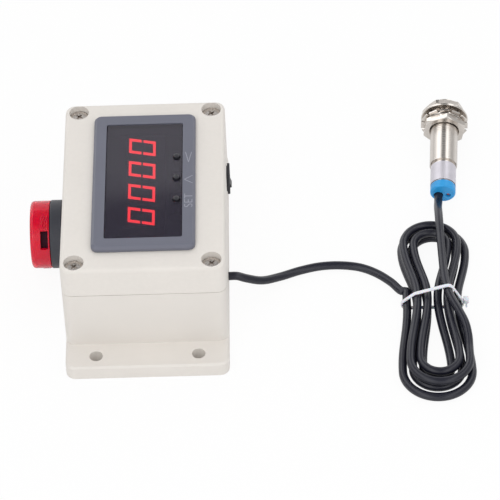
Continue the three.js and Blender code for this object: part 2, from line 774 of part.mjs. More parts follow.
// Alarm beacon, built along its own axis, which points out of the box's left wall
function buildBeacon() {
  const beacon = new THREE.Group();
  beacon.position.set(-caseWidth / 2, beaconY, beaconZ);
  beacon.rotation.y = -Math.PI / 2;
  tachometer.add(beacon);
  const radius = beaconDiameter / 2;
  const collarBack = gap + sealThickness + gap;
  const collarFront = collarBack + collarLength;
  const recessFloor = collarFront - boardRecessDepth;
  const lensRadius = lensDiameter / 2;
  const spigotRadius = lensRadius - lensWall - gap;
  const spigotFront = collarFront + lensSpigot;
  const body = turned([
    [beaconBore / 2, -beaconReach],
    [beaconThread / 2, -beaconReach],
    [beaconThread / 2, collarBack],
    [radius - collarEdge, collarBack],
    [radius, collarBack + collarEdge],
    [radius, collarFront - collarEdge],
    [radius - collarEdge, collarFront],
    [spigotRadius, collarFront],
    [spigotRadius, spigotFront],
    [boardRecess / 2, spigotFront],
    [boardRecess / 2, recessFloor],
    [beaconBore / 2, recessFloor],
  ], finePitchSides);
  addPiece(beacon, 'beacon_body', body, finishes.blackPlastic);

  const seal = turned([
    [beaconThread / 2 + gap, gap],
    [radius - collarEdge, gap],
    [radius - collarEdge, gap + sealThickness],
    [beaconThread / 2 + gap, gap + sealThickness],
  ], finePitchSides);
  addPiece(beacon, 'beacon_seal', seal, finishes.rubber);

  const nutTop = -wall - gap;
  const nutBottom = nutTop - beaconNutThickness;
  const nut = cut(
    hexagon(beaconNutFlats, nutBottom, nutTop),
    rod(beaconThread + 2 * gap, nutBottom - overrun, nutTop + overrun, 0, 0, finePitchSides),
  );
  addPiece(beacon, 'beacon_nut', nut, finishes.blackPlastic);

  const lensBack = collarFront + gap;
  const lensFront = lensBack + lensLength;
  const outer = [[lensRadius, lensBack]];
  for (let i = 0; i <= cornerSteps; i += 1) {
    const angle = (i / cornerSteps) * (Math.PI / 2);
    outer.push([
      lensRadius - lensRound * (1 - Math.cos(angle)),
      lensFront - lensDome - lensRound * (1 - Math.sin(angle)),
    ]);
  }
  const lensShell = turned([
    [0, lensFront - lensWall],
    [lensRadius - lensRound, lensFront - lensDome - lensWall],
    [lensRadius - lensWall, lensFront - lensDome - lensRound],
    [lensRadius - lensWall, lensBack],
    ...outer,
    [(lensRadius - lensRound) / 2, lensFront - lensDome / 4],
    [0, lensFront],
  ], finePitchSides);
  const slots = Array.from({ length: soundSlotCount }, (_, i) => {
    const span = soundSlotAngle * degree;
    const start = (i / soundSlotCount) * 2 * Math.PI + soundSlotTurn * degree - span / 2;
    const wedge = new THREE.Shape();
    wedge.absarc(0, 0, lensRadius + overrun, start, start + span, false);
    wedge.absarc(0, 0, lensRadius - lensWall - overrun, start + span, start, true);
    wedge.closePath();
    const slot = new THREE.ExtrudeGeometry(wedge, {
      depth: soundSlotWidth, bevelEnabled: false, curveSegments: cornerSteps,
    });
    return slot.translate(0, 0, lensBack + soundSlotInset);
  });
  addPiece(beacon, 'beacon_lens', cut(lensShell, ...slots), finishes.redLens);

  const ledBoardBottom = recessFloor + gap;
  const ledBoardTop = ledBoardBottom + ledBoardThickness;
  const ledBoard = rod(boardRecess - 2 * gap, ledBoardBottom, ledBoardTop, 0, 0, roundSides);
  addPiece(beacon, 'beacon_led_board', ledBoard, finishes.board);
  const ledBottom = ledBoardTop + gap;
  const ledRadius = ledDiameter / 2;
  const domeStart = ledBottom + ledHeight - ledRadius;
  const led = turned([
    [0, ledBottom],
    [ledRadius, ledBottom],
    [ledRadius, domeStart],
    [ledRadius * Math.cos(Math.PI / 4), domeStart + ledRadius * Math.sin(Math.PI / 4)],
    [0, domeStart + ledRadius],
  ], smallSides);
  addPiece(beacon, 'beacon_led', led, finishes.whiteLed);
  const buzzerTop = recessFloor - gap;
  const buzzer = rod(beaconBore - 2 * gap, buzzerTop - buzzerHeight, buzzerTop, 0, 0, roundSides);
  addPiece(beacon, 'beacon_buzzer', buzzer, finishes.chip);
  const plateBottom = -beaconReach + gap;
  const pinTop = plateBottom + beaconPlateThickness / 2;
  const pinBottom = plateBottom - beaconPinLength;
  const pins = [-1, 1].map((side) =>
    pad(beaconPinSize, beaconPinSize, pinBottom, pinTop, 0, (side * beaconPinSpacing) / 2),
  );
  const plate = rod(beaconBore - 2 * gap, plateBottom, plateBottom + beaconPlateThickness, 0, 0, roundSides);
  addPiece(beacon, 'beacon_terminals', join(plate, ...pins), finishes.brass);
}

// Rocker switch, built along its own axis, which points out of the box's right wall
function buildSwitch() {
  const unit = new THREE.Group();
  unit.position.set(caseWidth / 2, switchY, switchZ);
  unit.rotation.y = Math.PI / 2;
  tachometer.add(unit);
  const frameTop = gap + switchFrameRise;
  const bodyBottom = -switchBodyDepth;
  const wellLength = switchBodyLength - 2 * switchWall;
  const wellWidth = switchBodyWidth - 2 * switchWall;
  const flange = slab(switchFrameLength, switchFrameWidth, switchFrameEdge, [
    [gap, 0],
    [frameTop - switchFrameEdge, 0],
    [frameTop, switchFrameEdge],
  ]);
  const pivot = frameTop - rockerPivotDepth;
  const trunnionHole = rod(
    trunnionDiameter + 2 * gap, -switchBodyWidth / 2 - overrun, switchBodyWidth / 2 + overrun,
  ).rotateX(Math.PI / 2).translate(0, 0, pivot);
  const shell = cut(
    join(flange, pad(switchBodyLength, switchBodyWidth, bodyBottom, frameTop / 2)),
    pad(wellLength, wellWidth, bodyBottom + switchFloor, frameTop + overrun),
  );
  const pocketSpan = wellWidth + 2 * (trunnionReach + gap);
  const frame = cut(shell, pocketOnly(trunnionHole, pocketSpan));
  addPiece(unit, 'switch_frame', frame, finishes.blackPlastic);

  const profile = new THREE.Shape();
  const corner = rockerCornerAngle * degree;
  profile.moveTo(0, rockerReach * Math.sin(corner) - rockerDish);
  profile.lineTo(-rockerReach * Math.cos(corner), rockerReach * Math.sin(corner));
  profile.absarc(0, 0, rockerReach, Math.PI - corner, Math.PI + corner, false);
  profile.lineTo(0, -rockerBelly);
  profile.lineTo(rockerReach * Math.cos(corner), -rockerReach * Math.sin(corner));
  profile.absarc(0, 0, rockerReach, -corner, corner, false);
  profile.closePath();
  const rockerWidth = wellWidth - 2 * gap;
  const paddle = new THREE.ExtrudeGeometry(profile, {
    depth: rockerWidth, bevelEnabled: false, curveSegments: cornerSteps,
  });
  paddle.translate(0, 0, -rockerWidth / 2).rotateX(Math.PI / 2);
  const trunnion = rod(trunnionDiameter, -wellWidth / 2 - trunnionReach, wellWidth / 2 + trunnionReach);
  const rocker = join(paddle, trunnion.rotateX(Math.PI / 2));
  rocker.rotateY(-rockerTilt * degree).translate(0, 0, pivot);
  addPiece(unit, 'switch_rocker', rocker, finishes.blackPlastic);

  const bladeTop = bodyBottom - gap;
  [-1, 1].forEach((side, i) => {
    const place = (side * switchBladeSpacing) / 2;
    const blade = pad(switchBladeThickness, switchBladeWidth, bladeTop - switchBladeLength, bladeTop, place);
    addPiece(unit, `switch_blade_${i + 1}`, blade, finishes.brass);
  });
}

// Keeps the middle of a cross rod, so that its hole stays blind at both ends
function pocketOnly(crossRod, length) {
  const keeper = block([-length, -length / 2, -length], [length, length / 2, length]);
  return geometryOf(solidOf(crossRod).intersect(solidOf(keeper)));
}

// Battery on the floor of the box, with its snap connector
function buildBattery() {
  const bottom = baseFloor + gap;
  const cell = slab(batteryWidth, batteryLength, batteryCorner, [
    [bottom, 0],
    [bottom + batteryHeight, 0],
  ], batteryX, batteryY);
  addPiece(tachometer, 'battery', cell, finishes.batteryJacket);
  const snapY = batteryY - batteryLength / 2 - gap - snapThickness / 2;
  const snap = pad(batteryWidth, snapThickness, bottom, bottom + snapHeight, batteryX, snapY);
  addPiece(tachometer, 'battery_snap', snap, finishes.rubber);
}

// Rounded outline round a set of circles, as a taut band lies
function bandOutline(centres, radius) {
  const points = centres.flatMap(([x, z]) =>
    Array.from({ length: smallSides }, (_, i) => {
      const angle = (i / smallSides) * 2 * Math.PI;
      return [x + radius * Math.cos(angle), z + radius * Math.sin(angle)];
    }),
  );
  points.sort((a, b) => a[0] - b[0] || a[1] - b[1]);
  const turn = (o, a, b) => (a[0] - o[0]) * (b[1] - o[1]) - (a[1] - o[1]) * (b[0] - o[0]);
  const chain = (list) => {
    const kept = [];
    for (const point of list) {
      while (kept.length > 1 && turn(kept[kept.length - 2], kept[kept.length - 1], point) <= 0) kept.pop();
      kept.push(point);
    }
    return kept.slice(0, -1);
  };
  return [...chain(points), ...chain([...points].reverse())].map(([x, z]) => new THREE.Vector2(x, z));
}

// Where the hank's centreline lies after a number of loops
function hankPoint(loops) {
  const turn = Math.floor(loops);
  const step = (loops - turn) * stepsPerLoop;
  const inward = loops < hankTurnBack ? loops : 2 * hankTurnBack - loops;
  const runStart = stepsInHalfRun + stepsInFold;
  const climbStart = Math.floor(hankTurnBack) + runStart / stepsPerLoop;
  const climbed = THREE.MathUtils.smoothstep((loops - climbStart) * stepsPerLoop, 0, stepsInRun);
  const nearRadius = hankNearHalf - inward * hankStep;
  const farRadius = hankFarHalf - inward * hankStep;
  const nearCentre = hankNearTip + inward * hankNearTipStep + climbed * hankNearTipLayer + nearRadius;
  const farCentre = hankFarTip - inward * hankFarTipStep + climbed * hankFarTipLayer - farRadius;
  const halfAt = (y) => {
    const end = y < hankWaistY ? hankNearHalf : hankFarHalf;
    const centre = y < hankWaistY ? nearCentre : farCentre;
    const share = Math.min(Math.abs((y - hankWaistY) / (centre - hankWaistY)), 1);
    return hankWaistHalf + (end - hankWaistHalf) * Math.sin((share * Math.PI) / 2) ** 2 - inward * hankStep;
  };
  let x;
  let y;
  if (step < stepsInHalfRun) {
    y = THREE.MathUtils.lerp(hankWaistY, nearCentre, step / stepsInHalfRun);
    x = -halfAt(y);
  } else if (step < runStart) {
    const angle = ((step - stepsInHalfRun) / stepsInFold) * Math.PI;
    x = -nearRadius * Math.cos(angle);
    y = nearCentre - nearRadius * Math.sin(angle);
  } else if (step < runStart + stepsInRun) {
    y = THREE.MathUtils.lerp(nearCentre, farCentre, (step - runStart) / stepsInRun);
    x = halfAt(y);
  } else if (step < runStart + stepsInRun + stepsInFold) {
    const angle = ((step - runStart - stepsInRun) / stepsInFold) * Math.PI;
    x = farRadius * Math.cos(angle);
    y = farCentre + farRadius * Math.sin(angle);
  } else {
    const left = stepsPerLoop - stepsInHalfRun - 2 * stepsInFold - stepsInRun;
    y = THREE.MathUtils.lerp(farCentre, hankWaistY, 1 - (stepsPerLoop - step) / left);
    x = -halfAt(y);
  }
  return new THREE.Vector3(hankX + x, y, hankHeight(y, climbed));
}

// Height of the hank's centreline, which rises over the tie at the waist
function hankHeight(y, layer) {
  const near = Math.max(0, 1 - Math.abs(y - hankWaistY) / tieLiftReach);
  const lift = (tieThickness + tieClearance) * Math.sin((near * Math.PI) / 2) ** 2;
  return hankRest + cordRadius + layer * hankLayer + lift;
}

// A tube swept along points, with its section kept upright
function sweptTube(points, radius, sides) {
  const up = new THREE.Vector3(0, 0, 1);
  const rings = points.map((point, i) => {
    const before = points[Math.max(i - 1, 0)];
    const after = points[Math.min(i + 1, points.length - 1)];
    const along = after.clone().sub(before).normalize();
    const side = along.clone().cross(up).normalize();
    const top = side.clone().cross(along);
    return Array.from({ length: sides }, (_, k) => {
      const angle = (k / sides) * 2 * Math.PI;
      const corner = point.clone().addScaledVector(side, radius * Math.cos(angle));
      return corner.addScaledVector(top, radius * Math.sin(angle)).toArray();
    });
  });
  return closedSkin(rings);
}

// The sensor cable: inside the box, to the hank, the hank, and on to the sensor
function buildCable(sensorCable) {
  const endLoops = hankEndLoops + (stepsInHalfRun + stepsInFold) / stepsPerLoop;
  const points = [hankPoint(0).add(new THREE.Vector3(0, cordDiameter, 0))];
  const stepCount = Math.round(endLoops * stepsPerLoop);
  for (let i = 0; i <= stepCount; i += 1) points.push(hankPoint(i / stepsPerLoop));
  const last = points[points.length - 1].clone();
  points.push(last.clone().add(new THREE.Vector3(0, cordDiameter, 0)));
  addPiece(tachometer, 'cable_hank', sweptTube(points, cordRadius, hankSides), finishes.cableJacket);

  const first = points[0];
  const lead = [
    ...leadRoute,
    [first.x, first.y + gap + cordDiameter, first.z],
    [first.x, first.y + gap, first.z],
  ];
  const cord = (route) => tube(route, cordDiameter, cordSides, 2 * cordDiameter);
  addPiece(tachometer, 'cable_lead', cord(lead), finishes.cableJacket);
  const end = points[points.length - 1];
  const tail = [
    [end.x, end.y + gap, end.z],
    [end.x, end.y + gap + cordDiameter, end.z],
    ...tailRoute,
    ...sensorCable,
  ];
  addPiece(tachometer, 'cable_tail', cord(tail), finishes.cableJacket);
  reportCable(lead, tail, endLoops);

  const inside = [
    [caseWidth / 2 - wall - cordInsideReach, cordExitY, cordExitZ],
    [caseWidth / 2 - cordInsideEnd, cordExitY, cordExitZ],
  ];
  addPiece(tachometer, 'cable_inside', cord(inside), finishes.cableJacket);

  const grip = cordDiameter + 2 * gap;
  const tieFront = -gap;
  const tieBack = tieFront - strainTieWidth;
  const ring = rod(grip + 2 * strainTieWall, tieBack, tieFront);
  const head = pad(strainTieHead, strainTieHead, tieBack, tieFront, 0, -grip / 2 - strainTieWall);
  const strainTie = cut(join(ring, head), rod(grip, tieBack - overrun, tieFront + overrun));
  strainTie.rotateY(Math.PI / 2).translate(caseWidth / 2 - wall, cordExitY, cordExitZ);
  addPiece(tachometer, 'strain_tie', strainTie, finishes.whiteTie);

  const rightPhase = (stepsInHalfRun + stepsInFold + stepsInRun / 2) / stepsPerLoop;
  const crossings = [];
  for (let k = 0; k <= hankEndLoops; k += 1) {
    crossings.push(hankPoint(k));
    if (k < hankEndLoops) crossings.push(hankPoint(k + rightPhase));
  }
  const tailPoints = smoothCurve(tail).getSpacedPoints(tail.length * stepsPerLoop);
  crossings.push(tailPoints.find((point) => point.y >= hankWaistY));
  const centres = crossings.map((point) => [point.x, point.z]);
  const band = new THREE.Shape(bandOutline(centres, cordRadius + tieClearance + tieThickness));
  band.holes.push(new THREE.Path(bandOutline(centres, cordRadius + tieClearance)));
  const tie = new THREE.ExtrudeGeometry(band, { depth: tieWidth, bevelEnabled: false });
  tie.rotateX(Math.PI / 2).translate(0, hankWaistY + tieWidth / 2, 0);
  addPiece(tachometer, 'hank_tie', tie, finishes.whiteTie);
}

// Prints the cable's length and the least gap of the hank to itself
function reportCable(lead, tail, endLoops) {
  const finest = 8 * stepsPerLoop;
  const dense = [];
  for (let i = 0; i <= endLoops * finest; i += 1) dense.push(hankPoint(i / finest));
  let along = 0;
  const travel = dense.map((point, i) => {
    along += i ? point.distanceTo(dense[i - 1]) : 0;
    return along;
  });
  let least = Infinity;
  dense.forEach((point, i) => {
    for (let j = i + 1; j < dense.length; j += 1) {
      if (travel[j] - travel[i] > 3 * cordDiameter) least = Math.min(least, point.distanceTo(dense[j]));
    }
  });
  const lengths = [smoothCurve(lead).getLength(), along + 2 * cordDiameter, smoothCurve(tail).getLength()];
  const total = lengths.reduce((sum, length) => sum + length, 0);
  const rounded = lengths.map((length) => length.toFixed(0)).join(' + ');
  console.log(`hank: least gap ${(least - cordDiameter).toFixed(2)} mm over ${endLoops.toFixed(2)} loops`);
  console.log(`cable: ${rounded} mm, ${total.toFixed(0)} mm in all`);
}

// Wires inside the box, each from one piece to the next
function buildWires() {
  const terminalBottom = rearBoardBottom - gap - terminalHeight;
  const drop = 2 * wireDiameter;
  const ways = terminalPlaces();
  const toTerminal = (i) => [
    [ways[i], terminalY, terminalBottom - drop],
    [ways[i], terminalY, terminalBottom + terminalPortDepth - gap],
  ];
  const cableEnd = caseWidth / 2 - wall - cordInsideReach - gap;
  const bladeEnd = caseWidth / 2 - switchBodyDepth - gap - switchBladeLength - gap - wireDiameter / 2;
  const pinEnd = beaconPinEnd + wireDiameter / 2;
  const snapTop = baseFloor + gap + snapHeight + gap;
  const snapY = batteryY - batteryLength / 2 - gap - snapThickness / 2;
  const routes = {
    sensor_wire: [
      [cableEnd, cordExitY, cordExitZ],
      [cableEnd - 2 * drop, cordExitY - drop, cordExitZ + drop],
      ...toTerminal(4),
    ],
    switch_wire: [
      [bladeEnd, switchY, switchZ + switchBladeSpacing / 2],
      [bladeEnd, switchY - drop, switchZ + switchBladeSpacing / 2],
      [bladeEnd, snapY, switchZ],
      [bladeEnd, cordExitY + drop, (tubBottom + cordExitZ + cordRadius) / 2],
      [ways[3], cordExitY + drop, terminalBottom - drop],
      ...toTerminal(3),
    ],
    battery_wire: [
      [batteryX, snapY, snapTop],
      [batteryX, snapY, snapTop + drop],
      ...toTerminal(2),
    ],
    beacon_wire: [
      [pinEnd, beaconY - beaconPinSpacing / 2, beaconZ],
      [pinEnd, beaconY - beaconPinSpacing / 2 - drop, beaconZ],
      [pinEnd, (beaconY + terminalY) / 2, beaconZ + drop / 2],
      ...toTerminal(1),
    ],
  };
  for (const [name, route] of Object.entries(routes)) {
    addPiece(tachometer, name, tube(route, wireDiameter, wireSides, 2 * wireDiameter), finishes.wireJacket);
  }
}

// Proximity sensor, built along its own axis from the cable end to the sensing face
function buildSensor() {
  const washerRearFront = nutStation + nutThickness + gap + washerThickness;
  const drop = (washerDiameter - capDiameter) / 2;
  const tilt = Math.atan2(drop, washerRearFront);
  const turnTable = new THREE.Group();
  turnTable.position.set(sensorX, sensorY, sensorLift + (capDiameter / 2) * Math.cos(tilt));
  turnTable.rotation.z = sensorYaw * degree;
  const sensor = new THREE.Group();
  sensor.rotation.x = tilt - Math.PI / 2;
  turnTable.add(sensor);
  tachometer.add(turnTable);

  const cap = turned([
    [0, 0],
    [capDiameter / 2 - capLedRecess, 0],
    [capDiameter / 2, capLedRecess],
    [capDiameter / 2, capLength],
    [sensorBore / 2 - gap, capLength],
    [sensorBore / 2 - gap, capLength + capSpigot],
    [0, capLength + capSpigot],
  ]);
  const cableHole = rod(cordDiameter + 2 * gap, -overrun, capCableDepth, capCableX, capCableY);
  const ledHole = rod(capLedHole, -overrun, capLedDepth, capLedX, capLedY);
  addPiece(sensor, 'sensor_cap', cut(cap, cableHole, ledHole), finishes.blueCap);
  const led = rod(capLedHole - 2 * gap, capLedRecess, capLedDepth - gap, capLedX, capLedY);
  addPiece(sensor, 'sensor_led', led, finishes.litSegment);

  const barrelStart = capLength + gap;
  const barrel = turned([
    [sensorBore / 2, barrelStart],
    [sensorRearDiameter / 2, barrelStart],
    [sensorRearDiameter / 2, threadStart],
    [threadDiameter / 2 - nutChamfer, threadStart],
    [threadDiameter / 2, threadStart + nutChamfer],
    [threadDiameter / 2, sensorLength - nutChamfer],
    [threadDiameter / 2 - nutChamfer, sensorLength],
    [sensorBore / 2, sensorLength],
  ]);
  addPiece(sensor, 'sensor_barrel', barrel, finishes.nickel);
  const sleeveInside = sensorRearDiameter / 2 + sleeveGap;
  const sleeve = turned([
    [sleeveInside, barrelStart + gap],
    [sleeveInside + labelThickness, barrelStart + gap],
    [sleeveInside + labelThickness, barrelStart + gap + labelLength],
    [sleeveInside, barrelStart + gap + labelLength],
  ]);
  addPiece(sensor, 'sensor_label', sleeve, finishes.label);

  const insideDiameter = sensorBore - 2 * gap;
  const nose = rod(insideDiameter, sensorLength - noseThickness, sensorLength, 0, 0, roundSides);
  addPiece(sensor, 'sensor_face', nose, finishes.blueCap);
  const coilTop = sensorLength - noseThickness - gap;
  const coil = rod(insideDiameter, coilTop - coilLength, coilTop, 0, 0, roundSides);
  const boardTop = coilTop - coilLength / 2;
  const board = pad(sensorBoardWidth, boardThickness, boardTop - sensorBoardLength, boardTop);
  addPiece(sensor, 'sensor_core', join(coil, board), finishes.ferrite);

  const circlePoints = (radius) =>
    new THREE.EllipseCurve(0, 0, radius, radius).getPoints(finePitchSides).slice(1);
  const toothedPoints = (root, tip) => {
    const pitch = (2 * Math.PI) / washerTeeth;
    const half = (pitch * washerToothShare) / 2;
    const radii = [root, root, tip, tip, root];
    return Array.from({ length: washerTeeth }, (_, i) =>
      [-pitch / 2, -half, -half, half, half].map((offset, k) => {
        const angle = i * pitch + offset;
        return new THREE.Vector2(radii[k] * Math.cos(angle), radii[k] * Math.sin(angle));
      }),
    ).flat();
  };
  const washer = (bottom, outside, inside) => {
    const outline = new THREE.Shape(outside);
    outline.holes.push(new THREE.Path(inside));
    const ring = new THREE.ExtrudeGeometry(outline, { depth: washerThickness, bevelEnabled: false });
    return ring.translate(0, 0, bottom);
  };
  const washerRim = washerDiameter / 2;
  const washerRoot = washerRim - washerBand;
  const washerBore = threadDiameter / 2 + gap;
  const nut = (bottom, turn) => {
    const top = bottom + nutThickness;
    const chamfer = turned([
      [0, bottom],
      [nutFlats / 2, bottom],
      [nutCorners / 2, bottom + nutChamfer],
      [nutCorners / 2, top - nutChamfer],
      [nutFlats / 2, top],
      [0, top],
    ]);
    const hex = solidOf(hexagon(nutFlats, bottom, top, turn * degree)).intersect(solidOf(chamfer));
    const bore = rod(threadDiameter + 2 * gap, bottom - overrun, top + overrun, 0, 0, roundSides);
    return cut(geometryOf(hex), bore);
  };
  const washerRear = nutStation + nutThickness + gap;
  const washerFront = washerRear + washerThickness + washerGap;
  const nutFront = washerFront + washerThickness + gap;
  const star = washer(washerRear, toothedPoints(washerRoot, washerRim), circlePoints(washerBore));
  const grip = washer(washerFront, circlePoints(washerRim), toothedPoints(washerRoot, washerBore));
  addPiece(sensor, 'sensor_nut_rear', nut(nutStation, nutRearTurn), finishes.nickel);
  addPiece(sensor, 'sensor_washer_rear', star, finishes.nickel);
  addPiece(sensor, 'sensor_washer_front', grip, finishes.nickel);
  addPiece(sensor, 'sensor_nut_front', nut(nutFront, nutFrontTurn), finishes.nickel);

  tachometer.updateMatrixWorld(true);
  const inWorld = (x, y, z) => sensor.localToWorld(new THREE.Vector3(x, y, z)).toArray();
  return [
    inWorld(capCableX, capCableY, -cordDiameter),
    inWorld(capCableX, capCableY, 0),
    inWorld(capCableX, capCableY, capCableDepth - gap),
  ];
}

buildEnclosure();
buildMeter();
buildDisplay();
buildElectronics();
buildBeacon();
buildSwitch();
buildBattery();
buildWires();
buildCable(buildSensor());

export default tachometer;
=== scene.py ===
"""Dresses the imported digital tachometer: finishes, fine pieces, cable, studio and camera."""

import json
import logging
import math
from dataclasses import dataclass, field
from enum import Enum
from functools import cache, partial
from typing import Callable, Iterable, Mapping, Sequence

import bmesh
import bpy
from mathutils import Matrix, Vector


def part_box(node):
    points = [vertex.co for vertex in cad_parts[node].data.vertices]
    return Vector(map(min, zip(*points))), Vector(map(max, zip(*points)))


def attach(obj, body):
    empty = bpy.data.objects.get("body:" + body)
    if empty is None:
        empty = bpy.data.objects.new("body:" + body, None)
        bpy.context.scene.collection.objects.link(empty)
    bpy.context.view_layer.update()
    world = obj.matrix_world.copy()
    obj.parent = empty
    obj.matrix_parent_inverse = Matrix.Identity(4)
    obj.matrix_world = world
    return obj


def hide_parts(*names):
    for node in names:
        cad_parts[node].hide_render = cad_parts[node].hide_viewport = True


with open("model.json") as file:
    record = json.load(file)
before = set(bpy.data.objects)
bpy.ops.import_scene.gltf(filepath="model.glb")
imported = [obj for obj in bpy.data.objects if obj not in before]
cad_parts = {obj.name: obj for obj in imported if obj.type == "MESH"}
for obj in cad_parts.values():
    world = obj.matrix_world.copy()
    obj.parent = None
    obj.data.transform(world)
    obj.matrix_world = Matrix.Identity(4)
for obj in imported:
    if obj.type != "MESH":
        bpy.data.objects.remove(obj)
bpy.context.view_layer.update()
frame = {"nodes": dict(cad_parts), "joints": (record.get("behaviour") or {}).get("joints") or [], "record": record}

MM = 0.001
WELD = 0.001 * MM
FULL_TURN = 2 * math.pi
SHARP = math.radians(35)
FLAT = math.radians(0.5)
PHOTO_SIDE = 500
WHITE = (1.0, 1.0, 1.0, 1.0)

# One turn of the sensor's thread: how far up it each point lies, and how far from crest to root
THREAD_FORM = ((0.0, 0), (0.06, 0), (0.44, 1), (0.56, 1), (0.94, 0), (1.0, 0))
THREAD_SIDES = 40
THREAD_SPARE = 3

log = logging.getLogger("tachometer")
Pair = tuple[float, float]
Shade = tuple[int, int, int]
Point = tuple[float, float, float]
Profile = Sequence[Pair]
Mesh = bmesh.types.BMesh
Socket = bpy.types.NodeSocket
Sockets = Mapping[str, Socket]


class Body(Enum):
    """The rigid bodies that pieces ride on."""

    CASE = "case"
    ROCKER = "switch_rocker"
    KEY_1 = "key_1"
    KEY_2 = "key_2"
    KEY_3 = "key_3"
    REAR_WASHER = "rear_carriage"
    REAR_NUT = "rear_nut"
    FRONT_WASHER = "front_carriage"
    FRONT_NUT = "front_nut"


class Teeth(Enum):
    """The side of a lock washer that carries its teeth."""

    OUTSIDE = "outside"
    INSIDE = "inside"


# Colours and shader groups

SOCKET_OF = {type(None): "NodeSocketVector", tuple: "NodeSocketColor", float: "NodeSocketFloat"}
PALE = (0.8, 0.8, 0.8, 1.0)
TOOL_DRIFT = 0.0004
SPECKS_A_MARK = 7.0
NODE_SPACING = 180


def tone(red: int, green: int, blue: int) -> tuple[float, float, float, float]:
    """Turns a colour as a screen shows it, 0 to 255, into linear light with full alpha."""
    shares = (red / 255, green / 255, blue / 255)
    linear = [c / 12.92 if c <= 0.04045 else ((c + 0.055) / 1.055) ** 2.4 for c in shares]
    return (*linear, 1.0)


@dataclass
class Nodes:
    """Adds and joins shader nodes in one node tree."""

    tree: bpy.types.NodeTree
    column: int = 0

    def add(self, kind: str, values: dict | None = None, **settings) -> bpy.types.Node:
        """Adds a node.

        Args:
            kind: the node's type name.
            values: input socket names or numbers, with a number, a tuple or a socket to join.
            settings: the node's own properties.

        Returns:
            The new node.
        """
        node = self.tree.nodes.new(kind)
        self.column += 1
        node.location = (NODE_SPACING * self.column, 0)
        for name, setting in settings.items():
            setattr(node, name, setting)
        for name, value in (values or {}).items():
            self.give(node.inputs[name], value)
        return node

    def give(self, socket: Socket, value: object) -> None:
        """Sets a socket to a value, or joins it to another socket."""
        if isinstance(value, Socket):
            self.tree.links.new(value, socket)
        else:
            socket.default_value = value

    def group(self, tree: bpy.types.NodeTree, values: dict) -> Sockets:
        """Places a shader group with its own values and gives its outputs."""
        return self.add("ShaderNodeGroup", values, node_tree=tree).outputs

    def spread(
        self, value: Socket, start: object, end: object, low: float = 0.3, high: float = 0.7
    ) -> Socket:
        """Maps a texture's usual range onto another one."""
        values = {"Value": value, "From Min": low, "From Max": high, "To Min": start, "To Max": end}
        return self.add("ShaderNodeMapRange", values).outputs["Result"]

    def calc(self, first: object, second: object = 0.0, operation: str = "ADD") -> Socket:
        """Works out one operation on two numbers, or on the first alone."""
        return self.add("ShaderNodeMath", {0: first, 1: second}, operation=operation).outputs["Value"]

    def blend(self, factor: object, first: object, second: object, kind: str = "Color") -> Socket:
        """Mixes two colours, or with the kind Float two numbers, by a factor."""
        node = self.add("ShaderNodeMix", data_type="RGBA" if kind == "Color" else "FLOAT")
        sockets = {socket.identifier: socket for socket in node.inputs}
        for name, value in (("Factor_Float", factor), (f"A_{kind}", first), (f"B_{kind}", second)):
            self.give(sockets[name], value)
        return next(socket for socket in node.outputs if socket.identifier == f"Result_{kind}")

    def noise(self, vector: object, scale: object, detail: float) -> Socket:
        """Adds a noise texture and gives its grey value."""
        values = {"Vector": vector, "Scale": scale, "Detail": detail}
        return self.add("ShaderNodeTexNoise", values).outputs["Fac"]

    def mottle(self, put: Sockets, size: str, share: float, detail: float) -> Socket:
        """Adds a noise texture whose scale is a share over a group's own size."""
        return self.noise(put["Vector"], self.calc(share, put[size], "DIVIDE"), detail)


def new_group(
    name: str,
    inputs: dict[str, object],
    outputs: Sequence[str],
    build: Callable[[Nodes, Sockets], Sockets],
) -> bpy.types.NodeTree:
    """Makes a shader node group once.

    Args:
        name: the group's name.
        inputs: each input's default, which is None for a vector and a tuple for a colour.
        outputs: the outputs' names. Colour is a colour, and the others are numbers.
        build: adds the nodes and gives the socket of each output.

    Returns:
        The group's node tree.
    """
    tree = bpy.data.node_groups.new(name, "ShaderNodeTree")
    for title, default in inputs.items():
        socket = tree.interface.new_socket(title, in_out="INPUT", socket_type=SOCKET_OF[type(default)])
        if default is not None:
            socket.default_value = default
    for title in outputs:
        kind = SOCKET_OF[tuple if title == "Colour" else float]
        tree.interface.new_socket(title, in_out="OUTPUT", socket_type=kind)
    nodes = Nodes(tree)
    results = build(nodes, nodes.add("NodeGroupInput").outputs)
    nodes.add("NodeGroupOutput", results)
    return tree


def cleared_nodes(owner: bpy.types.Material | bpy.types.World) -> Nodes:
    """Empties the node tree of a material or a world and gives what adds nodes to it."""
    owner.use_nodes = True
    owner.node_tree.nodes.clear()
    return Nodes(owner.node_tree)


def build_grain(nodes: Nodes, put: Sockets) -> Sockets:
    """Fills the group that gives a moulded or cast surface its fine texture and slight unevenness."""
    fine = nodes.mottle(put, "Grain Size", share=1.0, detail=2.0)
    cloud = nodes.mottle(put, "Grain Size", share=0.03, detail=4.0)
    patch = nodes.mottle(put, "Grain Size", share=0.12, detail=5.0)
    less = nodes.calc(1.0, put["Variation"], "SUBTRACT")
    more = nodes.calc(1.0, put["Variation"])
    shade = nodes.spread(cloud, less, more)
    tinted = nodes.add("ShaderNodeVectorMath", {0: put["Colour"], "Scale": shade}, operation="SCALE")
    half = nodes.calc(put["Spread"], 0.5, "MULTIPLY")
    low = nodes.calc(put["Roughness"], half, "SUBTRACT")
    high = nodes.calc(put["Roughness"], half)
    return {"Colour": tinted.outputs["Vector"], "Roughness": nodes.spread(patch, low, high), "Height": fine}


